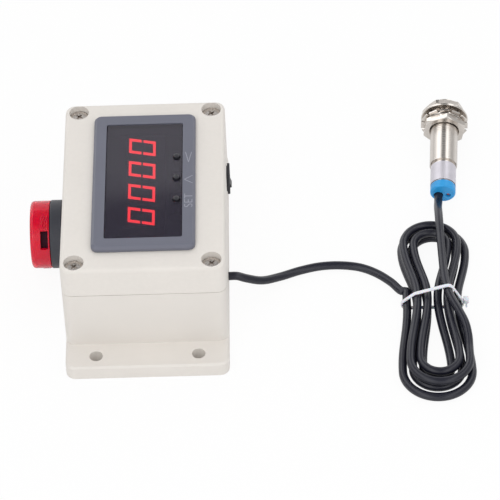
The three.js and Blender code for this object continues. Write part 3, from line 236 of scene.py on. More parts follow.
def build_edge_wear(nodes: Nodes, put: Sockets) -> Sockets:
    """Fills the group that lightens a piece's proud edges, where hands and parts have rubbed it."""
    point = nodes.add("ShaderNodeNewGeometry").outputs["Pointiness"]
    broken = nodes.mottle(put, "Patch Size", share=1.0, detail=4.0)
    rubbed = nodes.spread(point, 0.0, 1.0, low=0.52, high=0.60)
    patchy = nodes.calc(rubbed, nodes.spread(broken, 0.35, 1.0), "MULTIPLY")
    mask = nodes.calc(patchy, put["Amount"], "MULTIPLY")
    return {"Colour": nodes.blend(mask, put["Colour"], put["Worn Colour"]), "Mask": mask}


def build_turning(nodes: Nodes, put: Sockets) -> Sockets:
    """Fills the group that rings a turned piece with the fine marks of the tool, along its Z."""
    apart = nodes.add("ShaderNodeSeparateXYZ", {"Vector": put["Vector"]})
    wander = nodes.noise(put["Vector"], scale=400.0, detail=2.0)
    drift = nodes.calc(wander, TOOL_DRIFT, "MULTIPLY")
    along = nodes.calc(apart.outputs["Z"], drift)
    wave = nodes.calc(nodes.calc(along, put["Pitch"], "DIVIDE"), FULL_TURN, "MULTIPLY")
    ripple = nodes.calc(wave, operation="SINE")
    fine = nodes.spread(ripple, 0.0, 1.0, low=-1.0, high=1.0)
    patch = nodes.noise(put["Vector"], scale=260.0, detail=3.0)
    low = put["Roughness"]
    return {"Height": fine, "Roughness": nodes.spread(patch, low, nodes.calc(low, put["Spread"]))}


def build_dust(nodes: Nodes, put: Sockets) -> Sockets:
    """Fills the group that lays a little dust and finger marks on a glossy surface."""
    smear = nodes.mottle(put, "Mark Size", share=1.0, detail=5.0)
    scale = nodes.calc(SPECKS_A_MARK, put["Mark Size"], "DIVIDE")
    speck = nodes.add("ShaderNodeTexVoronoi", {"Vector": put["Vector"], "Scale": scale})
    dots = nodes.spread(speck.outputs["Distance"], 1.0, 0.0, low=0.02, high=0.08)
    most = nodes.calc(put["Roughness"], put["Spread"])
    rough = nodes.spread(smear, put["Roughness"], most, low=0.45, high=0.8)
    return {"Roughness": rough, "Specks": dots}


GRAIN = new_group(
    "moulded_grain",
    {
        "Vector": None,
        "Colour": PALE,
        "Variation": 0.03,
        "Grain Size": 0.0004,
        "Roughness": 0.5,
        "Spread": 0.08,
    },
    ["Colour", "Roughness", "Height"],
    build_grain,
)
EDGE_WEAR = new_group(
    "edge_wear",
    {"Vector": None, "Colour": PALE, "Worn Colour": (0.9, 0.9, 0.9, 1.0), "Patch Size": 0.002, "Amount": 0.4},
    ["Colour", "Mask"],
    build_edge_wear,
)
TURNING = new_group(
    "turning_marks",
    {"Vector": None, "Pitch": 0.0002, "Roughness": 0.15, "Spread": 0.1},
    ["Height", "Roughness"],
    build_turning,
)
DUST = new_group(
    "dust_and_marks",
    {"Vector": None, "Mark Size": 0.012, "Roughness": 0.05, "Spread": 0.12},
    ["Roughness", "Specks"],
    build_dust,
)


# Finishes

COAT_ROUGHNESS = 0.12
SCATTER_DEPTH = 0.6 * MM
WORN_GAIN = 1.25
WORN_LIFT = 0.01


@dataclass(frozen=True)
class Finish:
    """A moulded, cast or dipped surface with a fine grain."""

    name: str
    colour: Shade
    roughness: float = 0.5
    metallic: float = 0.0
    variation: float = 0.02
    spread: float = 0.08
    grain: float = 0.4 * MM
    relief: float = 0.01 * MM
    wear: float = 0.25
    worn: Shade | None = None
    coat: float = 0.0
    subsurface: float = 0.0
    transmission: float = 0.0
    ior: float = 1.5
    specular: float = 0.5
    glow: float = 0.0
    glow_colour: Shade | None = None

    @cache
    def material(self) -> bpy.types.Material:
        """Gives the finish's material, made once."""
        return self.build()

    def start(self) -> tuple[bpy.types.Material, Nodes, bpy.types.Node, Socket]:
        """Makes a plain material.

        Returns:
            The material, its nodes, its Principled shader, and the vector that patterns read.
        """
        made = bpy.data.materials.new(self.name)
        nodes = cleared_nodes(made)
        vector = nodes.add("ShaderNodeTexCoord").outputs["Object"]
        shader = nodes.add(
            "ShaderNodeBsdfPrincipled",
            {
                "Base Color": tone(*self.colour),
                "Roughness": self.roughness,
                "Metallic": self.metallic,
                "Specular IOR Level": self.specular,
                "Coat Weight": self.coat,
                "Coat Roughness": COAT_ROUGHNESS,
                "Subsurface Weight": self.subsurface,
                "Subsurface Scale": SCATTER_DEPTH,
                "Transmission Weight": self.transmission,
                "IOR": self.ior,
            },
        )
        if self.glow:
            nodes.give(shader.inputs["Emission Color"], tone(*(self.glow_colour or self.colour)))
            nodes.give(shader.inputs["Emission Strength"], self.glow)
        nodes.add("ShaderNodeOutputMaterial", {"Surface": shader.outputs["BSDF"]})
        return made, nodes, shader, vector

    def bump(self, nodes: Nodes, shader: bpy.types.Node, height: Socket) -> None:
        """Raises the surface by a height pattern, as far as the finish's relief."""
        node = nodes.add("ShaderNodeBump", {"Height": height, "Distance": self.relief, "Strength": 1.0})
        nodes.give(shader.inputs["Normal"], node.outputs["Normal"])

    def build(self) -> bpy.types.Material:
        """Makes the material: grain in the colour, the gloss and the surface, and rubbed edges."""
        made, nodes, shader, vector = self.start()
        colour = tone(*self.colour)
        grain = nodes.group(
            GRAIN,
            {
                "Vector": vector,
                "Colour": colour,
                "Variation": self.variation,
                "Grain Size": self.grain,
                "Roughness": self.roughness,
                "Spread": self.spread,
            },
        )
        worn = (*(min(1.0, WORN_GAIN * c + WORN_LIFT) for c in colour[:3]), 1.0)
        if self.worn:
            worn = tone(*self.worn)
        wear = nodes.group(
            EDGE_WEAR,
            {"Vector": vector, "Colour": grain["Colour"], "Worn Colour": worn, "Amount": self.wear},
        )
        nodes.give(shader.inputs["Base Color"], wear["Colour"])
        nodes.give(shader.inputs["Roughness"], grain["Roughness"])
        self.bump(nodes, shader, grain["Height"])
        return made


@dataclass(frozen=True)
class GlossFinish(Finish):
    """A clear or glossy surface, with a little dust and finger marks."""

    marks: float = 12 * MM
    dust: float = 0.05
    dust_colour: Shade = (200, 198, 196)

    def build(self) -> bpy.types.Material:
        """Makes the material: gloss broken by marks, and specks of dust."""
        made, nodes, shader, vector = self.start()
        dust = nodes.group(
            DUST,
            {"Vector": vector, "Mark Size": self.marks, "Roughness": self.roughness, "Spread": self.spread},
        )
        nodes.give(shader.inputs["Roughness"], dust["Roughness"])
        share = nodes.calc(dust["Specks"], self.dust, "MULTIPLY")
        dusty = nodes.blend(share, tone(*self.colour), tone(*self.dust_colour))
        nodes.give(shader.inputs["Base Color"], dusty)
        return made


@dataclass(frozen=True)
class PlatedFinish(Finish):
    """Bright plating over a turned or pressed part, its marks running round the given frame's Z."""

    pitch: float = 0.22 * MM
    place: Matrix | None = field(default=None, compare=False)

    def build(self) -> bpy.types.Material:
        """Makes the material: turning marks in the gloss and the surface, and a faint warm cast."""
        made, nodes, shader, vector = self.start()
        if self.place is not None:
            back = self.place.inverted()
            vector = nodes.add(
                "ShaderNodeMapping",
                {"Vector": vector, "Location": back.to_translation(), "Rotation": back.to_euler()},
            ).outputs["Vector"]
        marks = nodes.group(
            TURNING,
            {"Vector": vector, "Pitch": self.pitch, "Roughness": self.roughness, "Spread": self.spread},
        )
        colour = tone(*self.colour)
        grain = nodes.group(
            GRAIN,
            {"Vector": vector, "Colour": colour, "Variation": self.variation, "Grain Size": self.grain},
        )
        nodes.give(shader.inputs["Base Color"], grain["Colour"])
        nodes.give(shader.inputs["Roughness"], marks["Roughness"])
        self.bump(nodes, shader, marks["Height"])
        return made


CASE = Finish("case_abs", (226, 221, 215), 0.5, variation=0.012, grain=0.5 * MM, relief=0.012 * MM, wear=0.15)
PRINT = Finish("legend_ink", (160, 162, 172), 0.55, grain=0.2 * MM, relief=0.002 * MM, wear=0.0)
DISPLAY = Finish("display_mask", (36, 32, 44), 0.6, grain=0.3 * MM, relief=0.004 * MM, wear=0.0)
RUBBER = Finish("seal_rubber", (30, 30, 32), 0.8, grain=0.3 * MM, relief=0.01 * MM, wear=0.0)
BOARD = Finish("board_mask", (28, 98, 54), 0.35, variation=0.08, grain=0.3 * MM, relief=0.006 * MM)
CHIP = Finish("moulded_epoxy", (32, 32, 34), 0.55, grain=0.15 * MM, relief=0.006 * MM)
TERMINAL = Finish("terminal_nylon", (44, 140, 74), 0.45)
# Painted shade: the spigot inside the lens is dark purple-red with little shine, standing in for the shade seen
# through the lens's slots
SLOT_SHADE = Finish("spigot_painted_shade", (46, 12, 28), 0.7, wear=0.0, specular=0.2)
JACKET = Finish("battery_sleeve", (60, 64, 72), 0.4, metallic=0.2)
CORD = Finish(
    "cable_pvc", (25, 26, 38), 0.33, variation=0.03, spread=0.02, grain=0.8 * MM, relief=0.0, wear=0.0
)
WIRE = Finish("wire_pvc", (170, 42, 36), 0.5, wear=0.0)
NYLON = Finish("white_nylon", (232, 234, 242), 0.34, relief=0.004 * MM, subsurface=0.2, wear=0.1)
BLUE = Finish("blue_cap", (42, 156, 222), 0.42, grain=0.3 * MM, relief=0.006 * MM, coat=0.1, wear=0.3)
FERRITE = Finish("sintered_ferrite", (58, 52, 50), 0.65)

satin = partial(Finish, grain=0.35 * MM, relief=0.008 * MM)
BEZEL = satin("bezel_abs", (106, 108, 121), 0.42, wear=0.35)
BLACK = satin("black_satin_plastic", (38, 38, 44), 0.42, worn=(70, 70, 78))
COLLAR = satin("collar_plastic", (52, 54, 62), 0.45, wear=0.3)

smooth = partial(Finish, grain=0.3 * MM, relief=0.001 * MM, wear=0.0)
LIT = smooth("lit_bar", (190, 40, 46), 0.4, glow=9.5, glow_colour=(255, 54, 50))
UNLIT = smooth("unlit_segment", (52, 34, 38), 0.45)
LAMP = smooth("indicator_lamp", (190, 84, 56), 0.3, glow=0.12)

SMOKED = GlossFinish(
    "smoked_acrylic", (106, 100, 120), 0.03, spread=0.05, transmission=0.85, ior=1.49, dust=0.02
)
LENS = GlossFinish(
    "red_lens", (255, 4, 62), 0.2, spread=0.1, transmission=0.45, subsurface=0.5, ior=1.45, marks=8 * MM
)
LED = GlossFinish("clear_epoxy", (236, 233, 224), 0.1, transmission=0.6, marks=4 * MM)

metal = partial(PlatedFinish, metallic=1.0)
PLATED = metal("screw_plating", (214, 208, 203), 0.22, spread=0.12, relief=0.0006 * MM)
CAN = metal("drawn_can", (190, 191, 196), 0.3, relief=0.001 * MM)
BRASS = metal("drawn_brass", (205, 165, 86), 0.3, relief=0.001 * MM)
FILM = PlatedFinish(
    "label_film", (208, 205, 213), 0.34, metallic=0.35, variation=0.05, grain=0.1 * MM, relief=0.0005 * MM
)

FINISH_OF_SLOT = {
    "case_plastic": CASE,
    "bezel_plastic": BEZEL,
    "window": SMOKED,
    "black_plastic": BLACK,
    "rubber": RUBBER,
    "lit_segment": LIT,
    "board": BOARD,
    "chip": CHIP,
    "can": CAN,
    "terminal_plastic": TERMINAL,
    "lens_red": LENS,
    "led_white": LED,
    "brass": BRASS,
    "battery_jacket": JACKET,
    "cable_jacket": CORD,
    "wire_jacket": WIRE,
    "tie_white": NYLON,
    "cap_blue": BLUE,
    "label": FILM,
    "ferrite": FERRITE,
}


# Mesh helpers


def linked(name: str, data: bpy.types.ID) -> bpy.types.Object:
    """Makes an object of some data and puts it in the scene."""
    made = bpy.data.objects.new(name, data)
    bpy.context.scene.collection.objects.link(made)
    return made


def shown(bm: Mesh, name: str = "work") -> bpy.types.Object:
    """Makes a bare object of a mesh, which is freed."""
    mesh = bpy.data.meshes.new(name)
    bm.to_mesh(mesh)
    bm.free()
    return linked(name, mesh)


def box_of(node: str) -> tuple[Vector, Vector, Vector]:
    """Gives the lowest corner, the highest corner and the middle of a CAD node."""
    low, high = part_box(node)
    return low, high, (low + high) / 2


def painted(bm: Mesh, number: int) -> Mesh:
    """Gives all faces of a mesh one material number."""
    for face in bm.faces:
        face.material_index = number
    return bm


def everything(bm: Mesh) -> list:
    """Lists all the points, edges and faces of a mesh."""
    return bm.verts[:] + bm.edges[:] + bm.faces[:]


def spin(bm: Mesh, geom: list, angle: float, steps: int, rise: float = 0.0, closed: bool = False) -> None:
    """Sweeps part of a mesh about Z, and up by a rise at each step."""
    bmesh.ops.spin(
        bm,
        geom=geom,
        cent=(0, 0, 0),
        axis=(0, 0, 1),
        dvec=(0, 0, rise),
        angle=angle,
        steps=steps,
        use_merge=closed,
    )


def welded(bm: Mesh) -> Mesh:
    """Welds a mesh's doubled points and turns its faces outwards."""
    bmesh.ops.remove_doubles(bm, verts=bm.verts, dist=WELD)
    bmesh.ops.recalc_face_normals(bm, faces=bm.faces)
    return bm


def moved(bm: Mesh, place: Matrix) -> Mesh:
    """Moves a whole mesh by a matrix."""
    bmesh.ops.transform(bm, matrix=place, verts=bm.verts)
    return bm


def join(*parts: Mesh) -> Mesh:
    """Puts several meshes into the first one and frees the others."""
    whole = parts[0]
    for part in parts[1:]:
        mesh = bpy.data.meshes.new("part")
        part.to_mesh(mesh)
        part.free()
        whole.from_mesh(mesh)
        bpy.data.meshes.remove(mesh)
    return whole


def bevel(bm: Mesh, edges: Iterable[bmesh.types.BMEdge], width: float, segments: int) -> None:
    """Rounds some edges of a mesh."""
    bmesh.ops.bevel(
        bm,
        geom=list(edges),
        offset=width,
        offset_type="OFFSET",
        affect="EDGES",
        segments=segments,
        profile=0.5,
        material=-1,
        clamp_overlap=True,
    )


def sharp_edges(bm: Mesh, angle: float = SHARP) -> list[bmesh.types.BMEdge]:
    """Lists the edges whose two faces meet at more than an angle."""
    return [e for e in bm.edges if len(e.link_faces) == 2 and e.calc_face_angle() > angle]


def softened(node: str, width: float, segments: int = 2, hollows: bool = True) -> Mesh:
    """Copies a CAD node, merges its flat faces and rounds its sharp edges.

    Args:
        node: the CAD node's name.
        width: how far the rounding reaches from each edge.
        segments: how many facets it has.
        hollows: whether inside corners are rounded too.

    Returns:
        The new mesh.
    """
    bm = bmesh.new()
    bm.from_mesh(frame["nodes"][node].data)
    bmesh.ops.remove_doubles(bm, verts=bm.verts, dist=WELD)
    bmesh.ops.dissolve_limit(bm, angle_limit=FLAT, verts=bm.verts, edges=bm.edges)
    bevel(bm, [e for e in sharp_edges(bm) if hollows or e.is_convex], width, segments)
    return bm


def lathe(profile: Profile, steps: int = 72) -> Mesh:
    """Spins points of (radius, height) about Z into a closed solid.

    Args:
        profile: the points in order. It closes on itself unless it starts and ends on the axis.
        steps: how many facets go round.

    Returns:
        The new mesh.
    """
    bm = bmesh.new()
    points = [bm.verts.new((radius, 0, height)) for radius, height in profile]
    pairs = list(zip(points, points[1:]))
    if profile[0][0] > 0:
        pairs.append((points[-1], points[0]))
    edges = [bm.edges.new(pair) for pair in pairs]
    spin(bm, points + edges, FULL_TURN, steps, closed=True)
    return welded(bm)


def ring_of(inner: float, outer: float, low: float, high: float) -> list[Pair]:
    """Gives the lathe profile of a ring, or of a rod if its inner radius is nothing."""
    return [(inner, low), (outer, low), (outer, high), (inner, high)]


def rounded(profile: Profile, corners: dict[int, float], steps: int = 5) -> list[Pair]:
    """Rounds some corners of a lathe profile.

    Args:
        profile: the points of (radius, height).
        corners: each corner's number in the profile, and its radius.
        steps: how many facets each rounding has.

    Returns:
        The profile with arcs in place of those corners.
    """
    made = []
    count = len(profile)
    for i, here in enumerate(profile):
        if i not in corners:
            made.append(tuple(here))
            continue
        at = Vector(here)
        back = (Vector(profile[i - 1]) - at).normalized()
        ahead = (Vector(profile[(i + 1) % count]) - at).normalized()
        half = back.angle(ahead) / 2
        reach = corners[i] / math.tan(half)
        middle = at + (back + ahead).normalized() * (corners[i] / math.sin(half))
        start, end = at + back * reach - middle, at + ahead * reach - middle
        for k in range(steps + 1):
            arm = start.lerp(end, k / steps)
            made.append(tuple(middle + arm.normalized() * corners[i]))
    return made


def slab(low: Sequence[float], high: Sequence[float], corner: float = 0.0, segments: int = 2) -> Mesh:
    """Makes a block between two corners, with rounded uprights.

    Args:
        low: its lowest corner.
        high: its highest corner.
        corner: the radius of its four upright edges.
        segments: the facets of each upright's rounding.

    Returns:
        The new mesh.
    """
    size = Vector(high) - Vector(low)
    middle = (Vector(high) + Vector(low)) / 2
    bm = bmesh.new()
    bmesh.ops.create_cube(bm, size=1.0, matrix=Matrix.Translation(middle) @ Matrix.Diagonal((*size, 1.0)))
    if corner:
        upright = [e for e in bm.edges if abs(e.verts[0].co.z - e.verts[1].co.z) > size.z / 2]
        bevel(bm, upright, corner, segments)
    return bm


def evaluated_mesh(thing: bpy.types.Object) -> Mesh:
    """Copies an object's mesh as its modifiers leave it, and welds its doubled points."""
    evaluated = thing.evaluated_get(bpy.context.evaluated_depsgraph_get())
    made = bmesh.new()
    made.from_mesh(evaluated.to_mesh())
    evaluated.to_mesh_clear()
    bmesh.ops.remove_doubles(made, verts=made.verts, dist=WELD)
    return made


def carved(work: Mesh, *tools: Mesh) -> Mesh:
    """Cuts tools out of a mesh.

    Args:
        work: the mesh to cut.
        tools: closed meshes that are taken away.

    Returns:
        The mesh that is left.
    """
    target = shown(work)
    cutters = [shown(tool) for tool in tools]
    for cutter in cutters:
        change = target.modifiers.new("cut", "BOOLEAN")
        change.operation = "DIFFERENCE"
        change.solver = "EXACT"
        change.object = cutter
    left = evaluated_mesh(target)
    for used in (target, *cutters):
        mesh = used.data
        bpy.data.objects.remove(used)
        bpy.data.meshes.remove(mesh)
    return left


def helix_thread(
    radius: float, pitch: float, depth: float, start: float, end: float, bore: float
) -> Mesh:
    """Makes a tube with a screw thread outside, along Z.

    Args:
        radius: the crest's radius.
        pitch: the rise of one turn.
        depth: from crest to root.
        start: the lower end.
        end: the upper end.
        bore: the radius of the hole through it.

    Returns:
        The new mesh.
    """
    turns = math.ceil((end - start) / pitch) + THREAD_SPARE
    bm = bmesh.new()
    low = start - THREAD_SPARE / 2 * pitch
    ridge = [bm.verts.new((radius - sunk * depth, 0, low + pitch * up)) for up, sunk in THREAD_FORM]
    edges = [bm.edges.new(pair) for pair in zip(ridge, ridge[1:])]
    spin(bm, ridge + edges, FULL_TURN * turns, THREAD_SIDES * turns, pitch / THREAD_SIDES)
    bmesh.ops.remove_doubles(bm, verts=bm.verts, dist=WELD)
    for height, outer in ((start, False), (end, True)):
        bmesh.ops.bisect_plane(
            bm,
            geom=everything(bm),
            plane_co=(0, 0, height),
            plane_no=(0, 0, 1),
            clear_outer=outer,
            clear_inner=not outer,
            dist=WELD,
        )
    inner = []
    for height in (start, end):
        place = Matrix.Translation((0, 0, height))
        rim = bmesh.ops.create_circle(bm, segments=THREAD_SIDES, radius=bore, matrix=place)
        inner.append({e for v in rim["verts"] for e in v.link_edges})
        cut = [e for e in bm.edges if e.is_boundary]
        outer_rim = [e for e in cut if all(abs(v.co.z - height) < 10 * WELD for v in e.verts)]
        bmesh.ops.triangle_fill(bm, edges=[*outer_rim, *inner[-1]], use_beauty=True, normal=(0, 0, 1))
    bmesh.ops.bridge_loops(bm, edges=[*inner[0], *inner[1]])
    bmesh.ops.recalc_face_normals(bm, faces=bm.faces)
    return bm


def add_piece(
    name: str,
    bm: Mesh,
    finish: Finish,
    body: Body = Body.CASE,
    replaces: Sequence[str] = (),
    others: Sequence[Finish] = (),
    weighted: bool = True,
) -> bpy.types.Object:
    """Makes a finished piece of a mesh and puts it on its body.

    Args:
        name: the piece's name.
        bm: its mesh, in its place. It is freed.
        finish: its finish.
        body: the body that it rides on.
        replaces: the CAD nodes that it stands for.
        others: finishes of its further material numbers.
        weighted: whether its normals follow its large faces.

    Returns:
        The new object.
    """
    piece = shown(bm, name)
    mesh = piece.data
    mesh.polygons.foreach_set("use_smooth", [True] * len(mesh.polygons))
    mesh.set_sharp_from_angle(angle=SHARP)
    for used in (finish, *others):
        mesh.materials.append(used.material())
    if weighted:
        piece.modifiers.new("flat faces", "WEIGHTED_NORMAL").keep_sharp = True
    return place_piece(piece, body, replaces)


def place_piece(
    piece: bpy.types.Object, body: Body, replaces: Sequence[str] = ()
) -> bpy.types.Object:
    """Puts a piece on its body and hides the CAD nodes that it stands for."""
    if replaces:
        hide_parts(*replaces)
    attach(piece, body.value)
    log.info("piece %s rides on %s", piece.name, body.value)
    return piece


# The box


@dataclass
class Enclosure:
    """The tray with its ears, the lid, and the four screws in the lid's wells."""

    edge: float = 0.28 * MM
    head_radius: float = 3.9 * MM
    head_height: float = 2.3 * MM
    shank_radius: float = 1.95 * MM
    recess_reach: float = 2.1 * MM
    recess_width: float = 0.95 * MM
    recess_depth: float = 1.3 * MM
    recess_foot: Pair = (0.45, 0.7)
    tip_share: float = 0.6
    crown_share: float = 0.72
    crown_height: float = 0.46 * MM
    crown_edges: Pair = (0.25 * MM, 0.9 * MM)
    screw_turns: tuple[float, ...] = (48.0, 40.0, 52.0, 35.0)

    def build(self) -> None:
        """Makes the box and its screws."""
        for name, node in (("tray", "enclosure_base"), ("lid", "enclosure_lid")):
            add_piece(name, softened(node, self.edge), CASE, replaces=[node])
        for i, turn in enumerate(self.screw_turns, start=1):
            self.screw(f"lid_screw_{i}", math.radians(turn))

    def screw(self, node: str, turn: float) -> None:
        """Makes one cross-recessed screw where its CAD node stands, turned as a driver left it."""
        low, high, middle = box_of(node)
        top = high.z
        seat = top - self.head_height
        profile = [
            (0, low.z),
            (self.tip_share * self.shank_radius, low.z),
            (self.shank_radius, low.z + self.shank_radius),
            (self.shank_radius, seat),
            (self.head_radius, seat),
            (self.head_radius, top - self.crown_height),
            (self.crown_share * self.head_radius, top),
            (0, top),
        ]
        head = lathe(rounded(profile, {5: self.crown_edges[0], 6: self.crown_edges[1]}), steps=48)
        wings = [self.recess_wing(top, angle) for angle in (0, math.pi / 2)]
        made = carved(head, *wings)
        moved(made, Matrix.Translation((middle.x, middle.y, 0)) @ Matrix.Rotation(turn, 4, "Z"))
        add_piece(f"cross_screw_{node[-1]}", made, PLATED, replaces=[node])

    def recess_wing(self, top: float, angle: float) -> Mesh:
        """Makes one of the two crossed blades that cut the recess, narrower at its foot."""
        reach, half, depth = self.recess_reach, self.recess_width / 2, self.recess_depth
        wing = slab((-reach, -half, top - depth), (reach, half, top + depth))
        for vert in wing.verts:
            if vert.co.z < top:
                vert.co.x *= self.recess_foot[0]
                vert.co.y *= self.recess_foot[1]
        return moved(wing, Matrix.Rotation(angle, 4, "Z"))


# The panel meter


@dataclass
class PanelMeter:
    """The bezel with its legends, the smoked window, the lit digits and the keys."""

    edge: float = 0.3 * MM
    stroke: float = 1.1 * MM
    digit_height: float = 11.2 * MM
    digit_width: float = 8.4 * MM
    lean: float = 2.5 * MM
    split: float = 0.8 * MM
    segment_rise: float = 0.5 * MM
    point_radius: float = 0.75 * MM
    point_offset: float = 1.0 * MM
    legend_x: float = 18.8 * MM
    legend_width: float = 3.4 * MM
    legend_stroke: float = 0.27 * MM
    legend_rise: float = 0.03 * MM
    stroke_round: float = 0.9
    arrow_width: float = 2.5 * MM
    arrow_down: Pair = (9.75 * MM, 15.75 * MM)
    arrow_left: Pair = (-2.97 * MM, 1.62 * MM)
    word_span: Pair = (-17.2 * MM, -9.25 * MM)
    letter_offset: float = -0.018
    letter_depth: float = 0.01
    pane_edge: float = 0.12 * MM
    key_crown: float = 0.25 * MM
    key_edge: float = 0.2 * MM
    key_flat: float = 0.6

    def build(self) -> None:
        """Makes the meter's pieces."""
        housing = softened("meter_housing", self.edge)
        add_piece("bezel", housing, BEZEL, replaces=["meter_housing"])
        pane = softened("meter_window", self.pane_edge)
        add_piece("window_pane", pane, SMOKED, replaces=["meter_window"])
        for i in range(1, 5):
            self.digit(f"digit_{i}")
        for i, body in enumerate((Body.KEY_1, Body.KEY_2, Body.KEY_3), start=1):
            self.key(f"key_{i}", body)
        self.legends()

    def digit(self, node: str) -> None:
        """Makes one digit: the lit bars of a zero, the dark bar across it, the point and their plate."""
        low, high, middle = box_of(node)
        tall, wide = self.digit_height / 2, self.digit_width / 2
        inside, across = tall - self.stroke, wide - self.stroke
        rise = self.segment_rise

        def bar(x: Pair, y: Pair) -> Mesh:
            """Makes one bar between two stations along the figure and two across it."""
            return slab((x[0], y[0], -rise), (x[1], y[1], 0))

        ends = [bar(x, (-wide, wide)) for x in ((-tall, -inside), (inside, tall))]
        halves = ((-inside, -self.split / 2), (self.split / 2, inside))
        sides = [bar(x, y) for x in halves for y in ((-wide, -across), (across, wide))]
        dark = bar((-self.stroke / 2, self.stroke / 2), (self.split - across, across - self.split))
        point = lathe(ring_of(0, self.point_radius, -rise, 0), steps=20)
        moved(point, Matrix.Translation((inside, wide + self.point_offset, 0)))
        figure = join(*ends, *sides, painted(join(dark, point), 1))
        lean = Matrix.Identity(4)
        lean[1][0] = -self.lean / self.digit_height
        moved(figure, Matrix.Translation((middle.x, middle.y, high.z)) @ lean)
        plate = slab(low, (high.x, high.y, high.z - rise))
        made = join(figure, painted(plate, 2))
        add_piece(f"zero_{node[-1]}", made, LIT, replaces=[node], others=[UNLIT, DISPLAY])

    def key(self, node: str, body: Body) -> None:
        """Makes one push key with a crowned tip."""
        low, high, middle = box_of(node)
        radius = (high.x - low.x) / 2
        rim = high.z - self.key_crown
        profile = [(0, low.z), (radius, low.z), (radius, rim), (self.key_flat * radius, high.z), (0, high.z)]
        made = lathe(rounded(profile, {2: self.key_edge}, steps=4), steps=40)
        moved(made, Matrix.Translation((middle.x, middle.y, 0)))
        add_piece(f"push_key_{node[-1]}", made, BLACK, body, replaces=[node])

    def legends(self) -> None:
        """Makes the printed key legends: two arrowheads and a word, on the bezel's face."""
        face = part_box("meter_housing")[1].z
        left, right = self.legend_x - self.legend_width / 2, self.legend_x + self.legend_width / 2
        tip, tail = self.arrow_down
        centre, half = self.legend_x, self.arrow_width / 2
        down = [((centre + side * half, tail), (centre, tip)) for side in (-1, 1)]
        low, high = self.arrow_left
        aside = [((right, low), (left, (low + high) / 2)), ((right, high), (left, (low + high) / 2))]
        strokes = [self.line(Vector(a), Vector(b), face) for a, b in down + aside]
        add_piece("key_arrows", join(*strokes), PRINT)
        add_piece("key_word", self.word("SET", face), PRINT)

    def line(self, start: Vector, end: Vector, bottom: float) -> Mesh:
        """Makes one printed line."""
        along = end - start
        reach, half = along.length / 2, self.legend_stroke / 2
        top = bottom + self.legend_rise
        made = slab((-reach, -half, bottom), (reach, half, top), self.stroke_round * half)
        turn = Matrix.Rotation(math.atan2(along.y, along.x), 4, "Z")
        return moved(made, Matrix.Translation((*((start + end) / 2), 0)) @ turn)

    def word(self, letters: str, bottom: float) -> Mesh:
        """Makes a printed word that reads along +Y, its head towards -X."""
        curve = bpy.data.curves.new("word", "FONT")
        curve.body = letters
        curve.size = 1.0
        curve.offset = self.letter_offset
        curve.extrude = self.letter_depth
        text = linked("word", curve)
        bpy.context.view_layer.update()
        made = evaluated_mesh(text)
        bpy.data.objects.remove(text)
        bpy.data.curves.remove(curve)
        low = Vector(min(v.co[k] for v in made.verts) for k in range(3))
        high = Vector(max(v.co[k] for v in made.verts) for k in range(3))
        start, end = self.word_span
        size = Vector(((end - start) / (high.x - low.x), self.legend_width / (high.y - low.y), 1.0))
        size.z = self.legend_rise / (high.z - low.z)
        shift = Matrix.Translation((self.legend_x + self.legend_width / 2, start, bottom))
        fit = Matrix.Rotation(math.pi / 2, 4, "Z") @ Matrix.Diagonal((*size, 1.0)) @ Matrix.Translation(-low)
        return moved(made, shift @ fit)


# The alarm beacon


